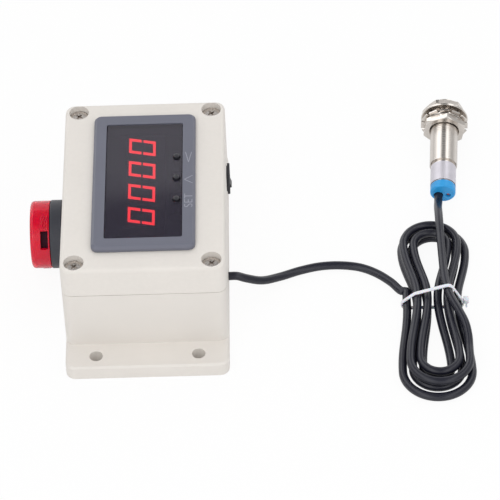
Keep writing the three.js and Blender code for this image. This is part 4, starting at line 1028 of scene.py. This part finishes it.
@dataclass
class Beacon:
    """The beacon's collar with its neck, and the red lens with its sound slots."""

    slot_width: float = 3.15 * MM
    slot_inset: float = 0.6 * MM
    slot_span: float = 32.0
    slot_turn: float = -56.0
    slot_count: int = 3
    wall: float = 1.5 * MM
    rib_count: int = 5
    rib_span: float = 24.0
    rib_gap: float = 3.0
    rib_width: float = 0.34 * MM
    rib_rise: float = 0.22 * MM
    edge: float = 0.5 * MM
    bore: float = 8.5 * MM
    neck: float = 10.8 * MM
    collar_length: float = 5.0 * MM
    recess: float = 11.5 * MM
    recess_depth: float = 3.0 * MM
    spigot: float = 12.5 * MM
    dome: float = 1.0 * MM
    turn_in: float = 1.6 * MM
    joint: float = 0.3 * MM
    cut_share: float = 1.2
    front_share: float = 0.8
    rib_sunk: float = 0.1 * MM
    rib_edge: float = 0.08 * MM
    facets: int = 96
    place: Matrix = field(init=False)

    def __post_init__(self) -> None:
        """Finds the beacon's own frame: its Z points out of the box's left wall."""
        low, high, middle = box_of("beacon_body")
        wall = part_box("enclosure_lid")[0].x
        centre = Vector((wall, middle.y, middle.z))
        self.place = Matrix.Translation(centre) @ Matrix.Rotation(-math.pi / 2, 4, "Y")
        self.back = centre.x - high.x
        self.spigot_end = centre.x - low.x
        self.radius = (high.y - low.y) / 2
        lens_low, lens_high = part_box("beacon_lens")
        self.lens_back = centre.x - lens_high.x
        self.lens_front = centre.x - lens_low.x
        self.front = self.lens_back - self.joint
        self.lens_radius = (lens_high.y - lens_low.y) / 2

    def build(self) -> None:
        """Makes the collar and the lens."""
        self.collar()
        self.lens()

    def collar(self) -> None:
        """Makes the black body: a bored neck, the collar and the spigot that stands in the lens. The spigot is
        painted a dark purple-red as painted shade for the lens's inside seen through its slots.
        """
        seat = self.front - self.collar_length
        profile = [
            (self.bore, self.back),
            (self.neck, self.back),
            (self.neck, seat),
            (self.radius, seat),
            (self.radius, self.front),
            (self.spigot, self.front),
            (self.spigot, self.spigot_end),
            (self.recess, self.spigot_end),
            (self.recess, self.front - self.recess_depth),
            (self.bore, self.front - self.recess_depth),
        ]
        made = lathe(rounded(profile, {3: self.edge, 4: self.front_share * self.edge}), self.facets)
        # Faces past the collar's front, on the spigot, take the painted shade finish
        for face in made.faces:
            face.material_index = int(face.calc_center_median().z > self.front)
        made = moved(made, self.place)
        add_piece(
            "beacon_collar", made, COLLAR, replaces=["beacon_body"], others=[SLOT_SHADE]
        )

    def lens(self) -> None:
        """Makes the red cap: a domed shell with three slots and a ribbed patch beside each."""
        turn_in, wall = self.turn_in, self.wall
        radius, back, front = self.lens_radius, self.lens_back, self.lens_front
        inner = radius - wall
        shoulder = front - self.dome
        outer = rounded([(radius, back), (radius, shoulder), (0, front)], {1: turn_in}, steps=8)
        inside = [
            (0, front - wall),
            (inner - turn_in, shoulder - wall),
            (inner, shoulder - turn_in),
            (inner, back),
        ]
        shell = lathe(inside + outer, self.facets)
        bottom = back + self.slot_inset
        turns = [self.slot_turn + i * 360 / self.slot_count for i in range(self.slot_count)]
        middle, half = radius - wall / 2, self.cut_share * wall
        cutters = [self.sector(turn, self.slot_span, bottom, self.slot_width, middle, half) for turn in turns]
        made = carved(shell, *cutters)
        ribs = [self.rib(turn, k, bottom) for turn in turns for k in range(self.rib_count)]
        made = moved(join(made, *ribs), self.place)
        add_piece("beacon_cap", made, LENS, replaces=["beacon_lens"])

    def sector(
        self, turn: float, span: float, bottom: float, width: float, middle: float, half: float
    ) -> Mesh:
        """Makes a block that is bent round the lens.

        Args:
            turn: the angle of its middle, in degrees.
            span: how far it reaches round, in degrees.
            bottom: how far along the beacon it starts.
            width: how wide it is along the beacon.
            middle: the radius halfway through it.
            half: half its thickness.

        Returns:
            The block, in the beacon's frame.
        """
        bm = bmesh.new()
        made = bmesh.ops.create_grid(bm, x_segments=1, y_segments=1, size=0.5)
        flat = Matrix.Diagonal((2 * half, width, 1.0, 1.0))
        upright = Matrix.Translation((middle, 0, bottom + width / 2)) @ Matrix.Rotation(math.pi / 2, 4, "X")
        start = Matrix.Rotation(math.radians(turn - span / 2), 4, "Z")
        bmesh.ops.transform(bm, matrix=start @ upright @ flat, verts=made["verts"])
        spin(bm, everything(bm), math.radians(span), steps=10)
        return welded(bm)

    def rib(self, turn: float, number: int, bottom: float) -> Mesh:
        """Makes one fine rib of the patch that follows a slot."""
        sunk = self.rib_sunk
        middle = turn + self.slot_span / 2 + self.rib_gap + self.rib_span / 2
        low = bottom + self.slot_width * (number + 0.5) / self.rib_count - self.rib_width / 2
        radius = self.lens_radius + (self.rib_rise - sunk) / 2
        made = self.sector(middle, self.rib_span, low, self.rib_width, radius, (self.rib_rise + sunk) / 2)
        bevel(made, sharp_edges(made), self.rib_edge, segments=2)
        return made


# The rocker switch


@dataclass
class RockerSwitch:
    """The switch's frame, and the rocker that tips in it."""

    edge: float = 0.18 * MM

    def build(self) -> None:
        """Makes the frame and the rocker."""
        frame_bm = softened("switch_frame", self.edge, hollows=False)
        add_piece("switch_surround", frame_bm, BLACK, replaces=["switch_frame"])
        rocker = softened("switch_rocker", self.edge, segments=3)
        add_piece("rocker", rocker, BLACK, Body.ROCKER, replaces=["switch_rocker"])


# The cable


LEAD_ROUTE: list[Point] = [
    (0.0339, -0.0178, 0.012),
    (0.0375, -0.0178, 0.012),
    (0.0415, -0.0173, 0.0099),
    (0.048, -0.0146, 0.0056),
    (0.0556, -0.0099, 0.0027),
    (0.0642, -0.0058, 0.0019),
    (0.0728, -0.0036, 0.0019),
    (0.0813, -0.0033, 0.0019),
    (0.0898, -0.0049, 0.0019),
    (0.0966, -0.0086, 0.0019),
    (0.1026, -0.0142, 0.002),
    (0.1069, -0.02, 0.0024),
]
TAIL_ROUTE: list[Point] = [
    (0.1333, -0.0515, 0.0073),
    (0.1323, -0.046, 0.0093),
    (0.1298, -0.0395, 0.0105),
    (0.1272, -0.033, 0.0109),
    (0.1254, -0.025, 0.0109),
    (0.1248, -0.017, 0.0107),
    (0.1246, -0.008, 0.0103),
    (0.1244, 0.004, 0.01),
    (0.1243, 0.013, 0.01),
    (0.1243, 0.02, 0.0088),
    (0.1244, 0.026, 0.0063),
]


@dataclass
class Hank:
    """The folded cable's centreline: a nested spiral that turns back on itself one layer up."""

    middle_x: float = 120.6 * MM
    waist_y: float = -28 * MM
    waist_half: float = 11.8 * MM
    near_half: float = 15.5 * MM
    far_half: float = 16.8 * MM
    near_tip: float = -82 * MM
    far_tip: float = 20 * MM
    step: float = 4.25 * MM
    near_tip_step: float = 5.4 * MM
    far_tip_step: float = 4.7 * MM
    near_tip_layer: float = 2.4 * MM
    far_tip_layer: float = 1.4 * MM
    layer: float = 4.05 * MM
    rest: float = 0.06 * MM
    turn_back: float = 2.52
    end_loops: int = 4
    cord_radius: float = 1.8 * MM
    tie_lift: float = 0.85 * MM
    tie_reach: float = 20 * MM
    steps_per_loop: int = 24
    half_run: int = 3
    fold: int = 7
    run: int = 5

    @property
    def loops(self) -> float:
        """Gives how many loops the hank has, up to where the tail leaves it."""
        return self.end_loops + (self.half_run + self.fold) / self.steps_per_loop

    def height(self, y: float, climbed: float) -> float:
        """Gives the centreline's height, which rises over the tie at the waist."""
        near = max(0.0, 1 - abs(y - self.waist_y) / self.tie_reach)
        lift = self.tie_lift * math.sin(near * math.pi / 2) ** 2
        return self.rest + self.cord_radius + climbed * self.layer + lift

    def point(self, loops: float) -> Vector:
        """Gives where the centreline lies after a number of loops."""
        step = (loops - math.floor(loops)) * self.steps_per_loop
        inward = loops if loops < self.turn_back else 2 * self.turn_back - loops
        run_start = self.half_run + self.fold
        climb_start = math.floor(self.turn_back) + run_start / self.steps_per_loop
        share = min(max((loops - climb_start) * self.steps_per_loop / self.run, 0.0), 1.0)
        climbed = share * share * (3 - 2 * share)
        near_radius = self.near_half - inward * self.step
        far_radius = self.far_half - inward * self.step
        near = self.near_tip + inward * self.near_tip_step + climbed * self.near_tip_layer + near_radius
        far = self.far_tip - inward * self.far_tip_step + climbed * self.far_tip_layer - far_radius

        def half_at(y: float) -> float:
            """Gives the loop's half width at a place along the hank."""
            end, centre = (self.near_half, near) if y < self.waist_y else (self.far_half, far)
            part = min(abs((y - self.waist_y) / (centre - self.waist_y)), 1.0)
            widened = (end - self.waist_half) * math.sin(part * math.pi / 2) ** 2
            return self.waist_half + widened - inward * self.step

        if step < self.half_run:
            y = self.waist_y + (near - self.waist_y) * step / self.half_run
            x = -half_at(y)
        elif step < run_start:
            angle = (step - self.half_run) / self.fold * math.pi
            x = -near_radius * math.cos(angle)
            y = near - near_radius * math.sin(angle)
        elif step < run_start + self.run:
            y = near + (far - near) * (step - run_start) / self.run
            x = half_at(y)
        elif step < run_start + self.run + self.fold:
            angle = (step - run_start - self.run) / self.fold * math.pi
            x = far_radius * math.cos(angle)
            y = far + far_radius * math.sin(angle)
        else:
            left = self.steps_per_loop - self.half_run - 2 * self.fold - self.run
            y = far + (self.waist_y - far) * (1 - (self.steps_per_loop - step) / left)
            x = -half_at(y)
        return Vector((self.middle_x + x, y, self.height(y, climbed)))


def smooth_route(route: Sequence[Vector], spacing: float) -> list[Vector]:
    """Follows the centripetal curve through a route's points.

    Args:
        route: the points, in order.
        spacing: about how far apart the new points are.

    Returns:
        The new points, with both ends.
    """
    ends = [2 * route[0] - route[1], *route, 2 * route[-1] - route[-2]]
    made = [route[0].copy()]
    for corners in zip(ends, ends[1:], ends[2:], ends[3:]):
        legs = list(zip(corners, corners[1:]))
        lengths = [(end - start).length for start, end in legs]
        knots = [0.0]
        for length in lengths:
            knots.append(knots[-1] + math.sqrt(length))
        count = max(2, round(lengths[1] / spacing))
        for k in range(1, count + 1):
            t = knots[1] + (knots[2] - knots[1]) * k / count
            first = [
                start.lerp(end, (t - knots[i]) / (knots[i + 1] - knots[i]))
                for i, (start, end) in enumerate(legs)
            ]
            second = [
                first[i].lerp(first[i + 1], (t - knots[i]) / (knots[i + 2] - knots[i]))
                for i in range(2)
            ]
            made.append(second[0].lerp(second[1], (t - knots[1]) / (knots[2] - knots[1])))
    return made


@dataclass
class Cable:
    """The sensor's cable from the box to the sensor, folded in its hank, and the tie round it."""

    hank: Hank = field(default_factory=Hank)
    gap: float = 0.3 * MM
    spacing: float = 1.2 * MM
    fine: int = 8
    roundness: int = 5
    band_edge: float = 0.15 * MM
    head_size: Point = (1.9 * MM, 2.8 * MM, 2.2 * MM)
    head_sunk: float = 0.3 * MM
    head_low: float = 3.2 * MM
    head_edge: float = 0.4 * MM
    end_inset: Pair = (1.3 * MM, 0.6 * MM)
    end_half: float = 0.8 * MM
    end_height: Pair = (0.4 * MM, 3.4 * MM)

    def build(self, sensor: "Sensor") -> None:
        """Makes the cable and its tie.

        Args:
            sensor: the sensor whose cap the cable's end goes into.
        """
        points = self.centreline(sensor)
        curve = bpy.data.curves.new("sensor_cable", "CURVE")
        curve.dimensions = "3D"
        curve.bevel_depth = self.hank.cord_radius
        curve.bevel_resolution = self.roundness
        curve.use_fill_caps = True
        spline = curve.splines.new("POLY")
        spline.points.add(len(points) - 1)
        for place, point in zip(spline.points, points):
            place.co = (*point, 1.0)
        spline.use_smooth = True
        curve.materials.append(CORD.material())
        cable = linked("sensor_cable", curve)
        place_piece(cable, Body.CASE, ["cable_lead", "cable_hank", "cable_tail"])
        tie = self.tie()

    def centreline(self, sensor: "Sensor") -> list[Vector]:
        """Gives the cable's points: the lead, the hank's loops, and the tail into the sensor's cap."""
        diameter = 2 * self.hank.cord_radius
        straight = Vector((0, diameter, 0))
        first, last = self.hank.point(0.0), self.hank.point(self.hank.loops)
        gap = Vector((0, self.gap, 0))
        lead = [Vector(p) for p in LEAD_ROUTE] + [first + 2 * straight + gap, first + straight + gap]
        count = round(self.hank.loops * self.hank.steps_per_loop * self.fine)
        loops = [self.hank.point(i * self.hank.loops / count) for i in range(count + 1)]
        end = [(*sensor.cable_at, z) for z in (-diameter, 0, sensor.cable_depth - self.gap)]
        tail = [last + straight + gap, last + 2 * straight + gap] + [Vector(p) for p in TAIL_ROUTE]
        tail += [sensor.place @ Vector(p) for p in end]
        return smooth_route(lead, self.spacing) + loops + smooth_route(tail, self.spacing)

    def tie(self) -> bpy.types.Object:
        """Makes the white tie: its band round the hank's waist, its head, and its cut end."""
        _, high, middle = box_of("hank_tie")
        wide, long, tall = self.head_size
        side = high.x + wide

        def block(x: Pair, half: float, z: Pair, edge: float, segments: int) -> Mesh:
            """Makes one rounded block beside the band, between two stations and two heights."""
            made = slab((x[0], middle.y - half, z[0]), (x[1], middle.y + half, z[1]))
            bevel(made, sharp_edges(made), edge, segments)
            return made

        band = softened("hank_tie", self.band_edge)
        top = self.head_low + tall
        sunk = high.x - self.head_sunk
        head = block((sunk, side), long / 2, (self.head_low, top), self.head_edge, segments=3)
        near, far = self.end_inset
        end = block((side - near, side - far), self.end_half, self.end_height, self.band_edge, segments=2)
        return add_piece("cable_tie", join(band, head, end), NYLON, replaces=["hank_tie"])


# The proximity sensor


@dataclass
class Sensor:
    """The threaded proximity sensor with its cap, label, nuts and toothed washers."""

    cap_radius: float = 5.5 * MM
    cap_length: float = 3.7 * MM
    cap_edge: float = 0.8 * MM
    cap_spigot: float = 3.0 * MM
    bore: float = 4.4 * MM
    cable_hole: float = 2.1 * MM
    cable_at: Pair = (-1.9 * MM, 0.9 * MM)
    lamp_hole: float = 1.2 * MM
    lamp_at: Pair = (2.3 * MM, 0.9 * MM)
    rear_radius: float = 5.2 * MM
    thread_radius: float = 6.0 * MM
    thread_start: float = 15.4 * MM
    thread_depth: float = 0.12 * MM
    pitch: float = 1.0 * MM
    length: float = 48.9 * MM
    gap: float = 0.3 * MM
    label_length: float = 9.8 * MM
    flats: float = 17.0 * MM
    rear_turn: float = 38.0
    front_turn: float = 8.0
    nut_thickness: float = 3.0 * MM
    nut_chamfer: float = 0.6 * MM
    rear_nut: float = 35.2 * MM
    rear_washer: float = 38.5 * MM
    front_washer: float = 42.0 * MM
    front_nut: float = 43.3 * MM
    washer_radius: float = 10.25 * MM
    washer_thickness: float = 1.0 * MM
    washer_band: float = 1.5 * MM
    teeth: int = 12
    tooth_share: float = 0.8
    small_edge: float = 0.2 * MM
    cable_depth: float = 3.0 * MM
    lamp_depth: float = 2.5 * MM
    lamp_span: Pair = (0.8 * MM, 2.2 * MM)
    lamp_edge: float = 0.5 * MM
    label_gap: float = 0.12 * MM
    label_thickness: float = 0.22 * MM
    nose_length: float = 1.2 * MM
    nose_edge: float = 0.25 * MM
    nut_facets: int = 96
    nut_levels: int = 5
    washer_edge: float = 0.3 * MM
    tooth_sunk: float = 0.2 * MM
    tooth_inset: float = 0.15 * MM
    tooth_twist: float = 0.14 * MM
    tooth_edge: float = 0.1 * MM
    place: Matrix = field(init=False)
    plating: PlatedFinish = field(init=False)

    def __post_init__(self) -> None:
        """Finds the sensor's frame from its nuts' joint: Z along it, X level, Y down."""
        turn = next(j for j in frame["joints"] if j["name"] == "nut_rear_turn")
        along = Vector(turn["axis"]).normalized()
        level = Vector((along.y, -along.x, 0)).normalized()
        down = along.cross(level)
        turned = Matrix((level, down, along)).transposed().to_4x4()
        self.place = Matrix.Translation(Vector(turn["pos_m"])) @ turned
        self.plating = metal(
            "barrel_plating", (212, 206, 200), 0.16, spread=0.1, relief=0.0008 * MM, place=self.place
        )

    def build(self) -> None:
        """Makes the sensor's pieces."""
        self.cap()
        self.barrel()
        self.label()
        self.nose()
        for name, made, body in (
            ("nut_rear", self.nut(self.rear_nut, self.rear_turn), Body.REAR_NUT),
            ("nut_front", self.nut(self.front_nut, self.front_turn), Body.FRONT_NUT),
            ("washer_rear", self.washer(self.rear_washer, Teeth.OUTSIDE), Body.REAR_WASHER),
            ("washer_front", self.washer(self.front_washer, Teeth.INSIDE), Body.FRONT_WASHER),
        ):
            add_piece(name, made, self.plating, body, [f"sensor_{name}"])

    def cap(self) -> None:
        """Makes the blue cap with the cable's hole and the lamp's hole, and the lamp in it."""
        spigot = self.bore - self.gap
        profile = [
            (0, 0),
            (self.cap_radius, 0),
            (self.cap_radius, self.cap_length),
            (spigot, self.cap_length),
            (spigot, self.cap_length + self.cap_spigot),
            (0, self.cap_length + self.cap_spigot),
        ]
        body = lathe(rounded(profile, {1: self.cap_edge, 2: self.small_edge}))
        cable_hole = self.drill(self.cable_hole, self.cable_at, self.cable_depth)
        lamp_hole = self.drill(self.lamp_hole, self.lamp_at, self.lamp_depth)
        made = moved(carved(body, cable_hole, lamp_hole), self.place)
        add_piece("end_cap", made, BLUE, replaces=["sensor_cap"])
        profile = ring_of(0, self.lamp_hole - self.gap, *self.lamp_span)
        lamp = lathe(rounded(profile, {1: self.lamp_edge}), steps=24)
        moved(lamp, self.place @ Matrix.Translation((*self.lamp_at, 0)))
        add_piece("lamp", lamp, LAMP, replaces=["sensor_led"])

    def drill(self, radius: float, at: Pair, depth: float) -> Mesh:
        """Makes a round cutter of a hole in the cap's end."""
        tool = lathe(ring_of(0, radius, -depth, depth), steps=32)
        return moved(tool, Matrix.Translation((*at, 0)))

    def barrel(self) -> None:
        """Makes the plated barrel: plain behind, threaded to the nose."""
        bore, start, end = self.bore, self.cap_length + self.gap, self.thread_start
        rear = lathe(rounded(ring_of(bore, self.rear_radius, start, end), {1: self.small_edge}))
        thread = helix_thread(self.thread_radius, self.pitch, self.thread_depth, end, self.length, bore)
        made = moved(join(rear, thread), self.place)
        add_piece(
            "threaded_barrel", made, self.plating, replaces=["sensor_barrel"], weighted=False
        )

    def label(self) -> None:
        """Makes the bare wrapped label."""
        inside = self.rear_radius + self.label_gap
        low = self.cap_length + 2 * self.gap
        made = lathe(ring_of(inside, inside + self.label_thickness, low, low + self.label_length))
        add_piece("label_wrap", moved(made, self.place), FILM, replaces=["sensor_label"])

    def nose(self) -> None:
        """Makes the sensing face."""
        profile = ring_of(0, self.bore - self.gap, self.length - self.nose_length, self.length)
        made = lathe(rounded(profile, {2: self.nose_edge}))
        add_piece("sensing_face", moved(made, self.place), BLUE, replaces=["sensor_face"])

    def nut(self, station: float, degrees: float) -> Mesh:
        """Makes a hexagon nut whose corners are turned off at both faces."""
        apothem = self.flats / 2
        corner = apothem / math.cos(math.pi / 6)
        turn = math.radians(degrees)
        slopes = [i / self.nut_levels for i in range(self.nut_levels + 1)]
        lower = [(None, s * self.nut_chamfer, s) for s in slopes]
        upper = [(None, self.nut_thickness - height, s) for _, height, s in reversed(lower)]
        bm = bmesh.new()
        rings = []
        hole = self.thread_radius + self.gap
        mouth = hole + self.gap
        path = [(mouth, 0.0, None), *lower, *upper, (mouth, self.nut_thickness, None)]
        path += [(hole, self.nut_thickness - self.gap, None), (hole, self.gap, None)]
        for radius, height, slope in path:
            ring = bmesh.ops.create_circle(bm, segments=self.nut_facets, radius=1.0)["verts"]
            for vert in ring:
                angle = math.atan2(vert.co.y, vert.co.x)
                within = (angle - turn) % (math.pi / 3) - math.pi / 6
                hexagon = apothem / math.cos(within)
                reach = radius or min(hexagon, apothem + slope * (corner - apothem))
                vert.co = Vector((reach * math.cos(angle), reach * math.sin(angle), station + height))
            rings.append(list({e for v in ring for e in v.link_edges}))
        for a, b in zip(rings, rings[1:] + rings[:1]):
            bmesh.ops.bridge_loops(bm, edges=a + b)
        bmesh.ops.recalc_face_normals(bm, faces=bm.faces)
        return moved(bm, self.place)

    def washer(self, station: float, side: Teeth) -> Mesh:
        """Makes a lock washer whose teeth are twisted out of its plane."""
        rim, bore, thick = self.washer_radius, self.thread_radius + self.gap, self.washer_thickness
        root = rim - self.washer_band
        inner, outer = (bore, root) if side is Teeth.OUTSIDE else (root, rim)
        start, end = (root, rim) if side is Teeth.OUTSIDE else (root, bore)
        corners = {1: self.washer_edge, 2: self.washer_edge}
        ring = lathe(rounded(ring_of(inner, outer, 0, thick), corners, steps=4), self.nut_facets)
        pitch = FULL_TURN / self.teeth
        half = self.tooth_share * pitch * (start + end) / 4
        sunk = math.copysign(self.tooth_sunk, start - end)
        low, high = sorted((start + sunk, end))
        teeth = []
        for i in range(self.teeth):
            tooth = slab((low, -half, self.tooth_inset), (high, half, thick - self.tooth_inset))
            for vert in tooth.verts:
                twist = (vert.co.x - start) / (end - start)
                vert.co.z += self.tooth_twist * max(twist, 0) * math.copysign(1, vert.co.y)
            bevel(tooth, sharp_edges(tooth), self.tooth_edge, segments=2)
            teeth.append(moved(tooth, Matrix.Rotation(i * pitch, 4, "Z")))
        made = join(ring, *teeth)
        return moved(made, self.place @ Matrix.Translation((0, 0, station)))


# The studio


@dataclass
class Studio:
    """The floor, the lamps, the surroundings and the camera."""

    azimuth: float = 1.256
    elevation: float = 45.191
    roll: float = -2.477
    camera_at: Point = (0.065913, -1.037686, 1.054234)
    focal_pixels: float = 3460.276
    sensor_width: float = 36.0
    floor_size: float = 6.0
    floor_lift: float = 0.93
    floor_shine: float = 0.5
    floor_tone: float = 0.93
    floor_variation: float = 0.005
    floor_grain: float = 1.5 * MM
    lamp_aim: Point = (0.05, 0.0, 0.0)
    wall_light: float = 0.9
    shed_light: float = 0.62
    flag_light: float = 0.12
    flag_edge: Pair = (0.6945, 0.6985)
    flag_side: Pair = (0.22, 0.28)
    panel_light: float = 0.9
    panel_edge: Pair = (0.24, 0.3)
    flank_centre: float = -0.08
    flank_shade: float = 1.2
    flank_edge: Pair = (0.62, 0.7)
    clip: Pair = (0.05, 20.0)

    def build(self) -> None:
        """Makes the whole studio."""
        self.floor()
        self.lamps()
        self.world()
        self.camera()
        bpy.context.scene.view_settings.view_transform = "Standard"

    def floor(self) -> None:
        """Makes the pale floor, white to the camera but for the object's shadow."""
        bm = bmesh.new()
        bmesh.ops.create_grid(bm, x_segments=1, y_segments=1, size=self.floor_size / 2)
        floor = shown(bm, "floor")
        made = bpy.data.materials.new("floor_paper")
        nodes = cleared_nodes(made)
        grain = nodes.group(
            GRAIN,
            {
                "Vector": nodes.add("ShaderNodeTexCoord").outputs["Object"],
                "Colour": (*[self.floor_tone] * 3, 1.0),
                "Variation": self.floor_variation,
                "Grain Size": self.floor_grain,
            },
        )
        matt = nodes.add("ShaderNodeBsdfDiffuse", {"Color": grain["Colour"]}).outputs["BSDF"]
        lift = nodes.add("ShaderNodeEmission", {"Color": WHITE, "Strength": 1.0}).outputs["Emission"]
        rays = nodes.add("ShaderNodeLightPath")
        shiny = nodes.calc(rays.outputs["Is Glossy Ray"], self.floor_shine, "MULTIPLY")
        direct = nodes.calc(rays.outputs["Is Camera Ray"], shiny, "MAXIMUM")
        direct = nodes.calc(direct, rays.outputs["Is Transmission Ray"], "MAXIMUM")
        share = nodes.calc(direct, self.floor_lift, "MULTIPLY")
        mix = nodes.add("ShaderNodeMixShader", {0: share, 1: matt, 2: lift})
        nodes.add("ShaderNodeOutputMaterial", {"Surface": mix.outputs["Shader"]})
        floor.data.materials.append(made)

    def lamps(self) -> None:
        """Hangs a broad soft lamp over the object and a weaker one at each side."""
        for name, place, size, power in (
            ("key_lamp", (-0.45, -1.05, 1.3), 1.3, 9.6),
            ("fill_lamp", (1.0, -0.6, 1.1), 1.2, 4.0),
            ("rear_lamp", (0.0, 1.1, 1.3), 1.2, 3.4),
        ):
            light = bpy.data.lights.new(name, "AREA")
            light.shape = "SQUARE"
            light.size = size
            light.energy = power
            lamp = linked(name, light)
            lamp.location = place
            aim = Vector(self.lamp_aim) - Vector(place)
            lamp.rotation_euler = aim.to_track_quat("-Z", "Y").to_euler()
            lamp.visible_glossy = False

    def world(self) -> None:
        """Makes the surroundings, which are plain white to the camera.

        A shiny surface shows a dark flag overhead, a bright panel at each side of it and dimmer flanks.
        The walls' own light is softer.
        """
        world = bpy.data.worlds.new("white_room")
        bpy.context.scene.world = world
        nodes = cleared_nodes(world)
        way = nodes.add("ShaderNodeSeparateXYZ", {0: nodes.add("ShaderNodeTexCoord").outputs["Generated"]})
        aside = nodes.calc(way.outputs["X"], operation="ABSOLUTE")
        core = nodes.spread(aside, self.flag_light, self.wall_light, *self.flag_side)
        above = nodes.spread(way.outputs["Z"], 0.0, 1.0, *self.flag_edge)
        panel = nodes.spread(aside, 0.0, self.panel_light, *self.panel_edge)
        flank = nodes.calc(way.outputs["X"], self.flank_centre, "SUBTRACT")
        edge = nodes.spread(nodes.calc(flank, operation="ABSOLUTE"), 0.0, self.flank_shade, *self.flank_edge)
        flagged = nodes.calc(nodes.blend(above, self.wall_light, core, "Float"), panel)
        flagged = nodes.calc(flagged, edge, "SUBTRACT")
        rays = nodes.add("ShaderNodeLightPath").outputs
        shiny = nodes.blend(rays["Is Glossy Ray"], self.shed_light, flagged, "Float")
        seen = nodes.calc(rays["Is Camera Ray"], rays["Is Transmission Ray"], "MAXIMUM")
        strength = nodes.blend(seen, shiny, 1.0, "Float")
        background = nodes.add("ShaderNodeBackground", {"Color": WHITE, "Strength": strength})
        nodes.add("ShaderNodeOutputWorld", {"Surface": background.outputs["Background"]})

    def camera(self) -> None:
        """Sets up the camera at the photograph's angle and distance."""
        a, e, r = (math.radians(v) for v in (self.azimuth, self.elevation, self.roll))
        back = Vector((math.sin(a) * math.cos(e), -math.cos(a) * math.cos(e), math.sin(e)))
        level = Vector((math.cos(a), math.sin(a), 0))
        up = back.cross(level)
        right = level * math.cos(r) + up * math.sin(r)
        top = up * math.cos(r) - level * math.sin(r)
        data = bpy.data.cameras.new("camera")
        data.sensor_width = self.sensor_width
        data.lens = self.focal_pixels / PHOTO_SIDE * self.sensor_width
        data.clip_start, data.clip_end = self.clip
        camera = linked("camera", data)
        turned = Matrix((right, top, back)).transposed().to_4x4()
        camera.matrix_world = Matrix.Translation(self.camera_at) @ turned
        bpy.context.scene.camera = camera


def dress_cad_nodes() -> None:
    """Gives every CAD node the finish of its material slot."""
    for row in frame["record"]["subparts"]:
        node = frame["nodes"][row["node"]]
        made = FINISH_OF_SLOT.get(row["material_slot"], PLATED).material()
        for slot in node.material_slots:
            slot.material = made
        log.info("node %s is dressed in %s", row["node"], made.name)


def main() -> None:
    """Builds the camera and the cable first, then the rest of the object."""
    sensor = Sensor()
    Studio().build()
    dress_cad_nodes()
    Cable().build(sensor)
    Enclosure().build()
    PanelMeter().build()
    Beacon().build()
    RockerSwitch().build()
    sensor.build()


if __name__ == "__main__":
    logging.basicConfig(level=logging.INFO, format="%(message)s")
    main()
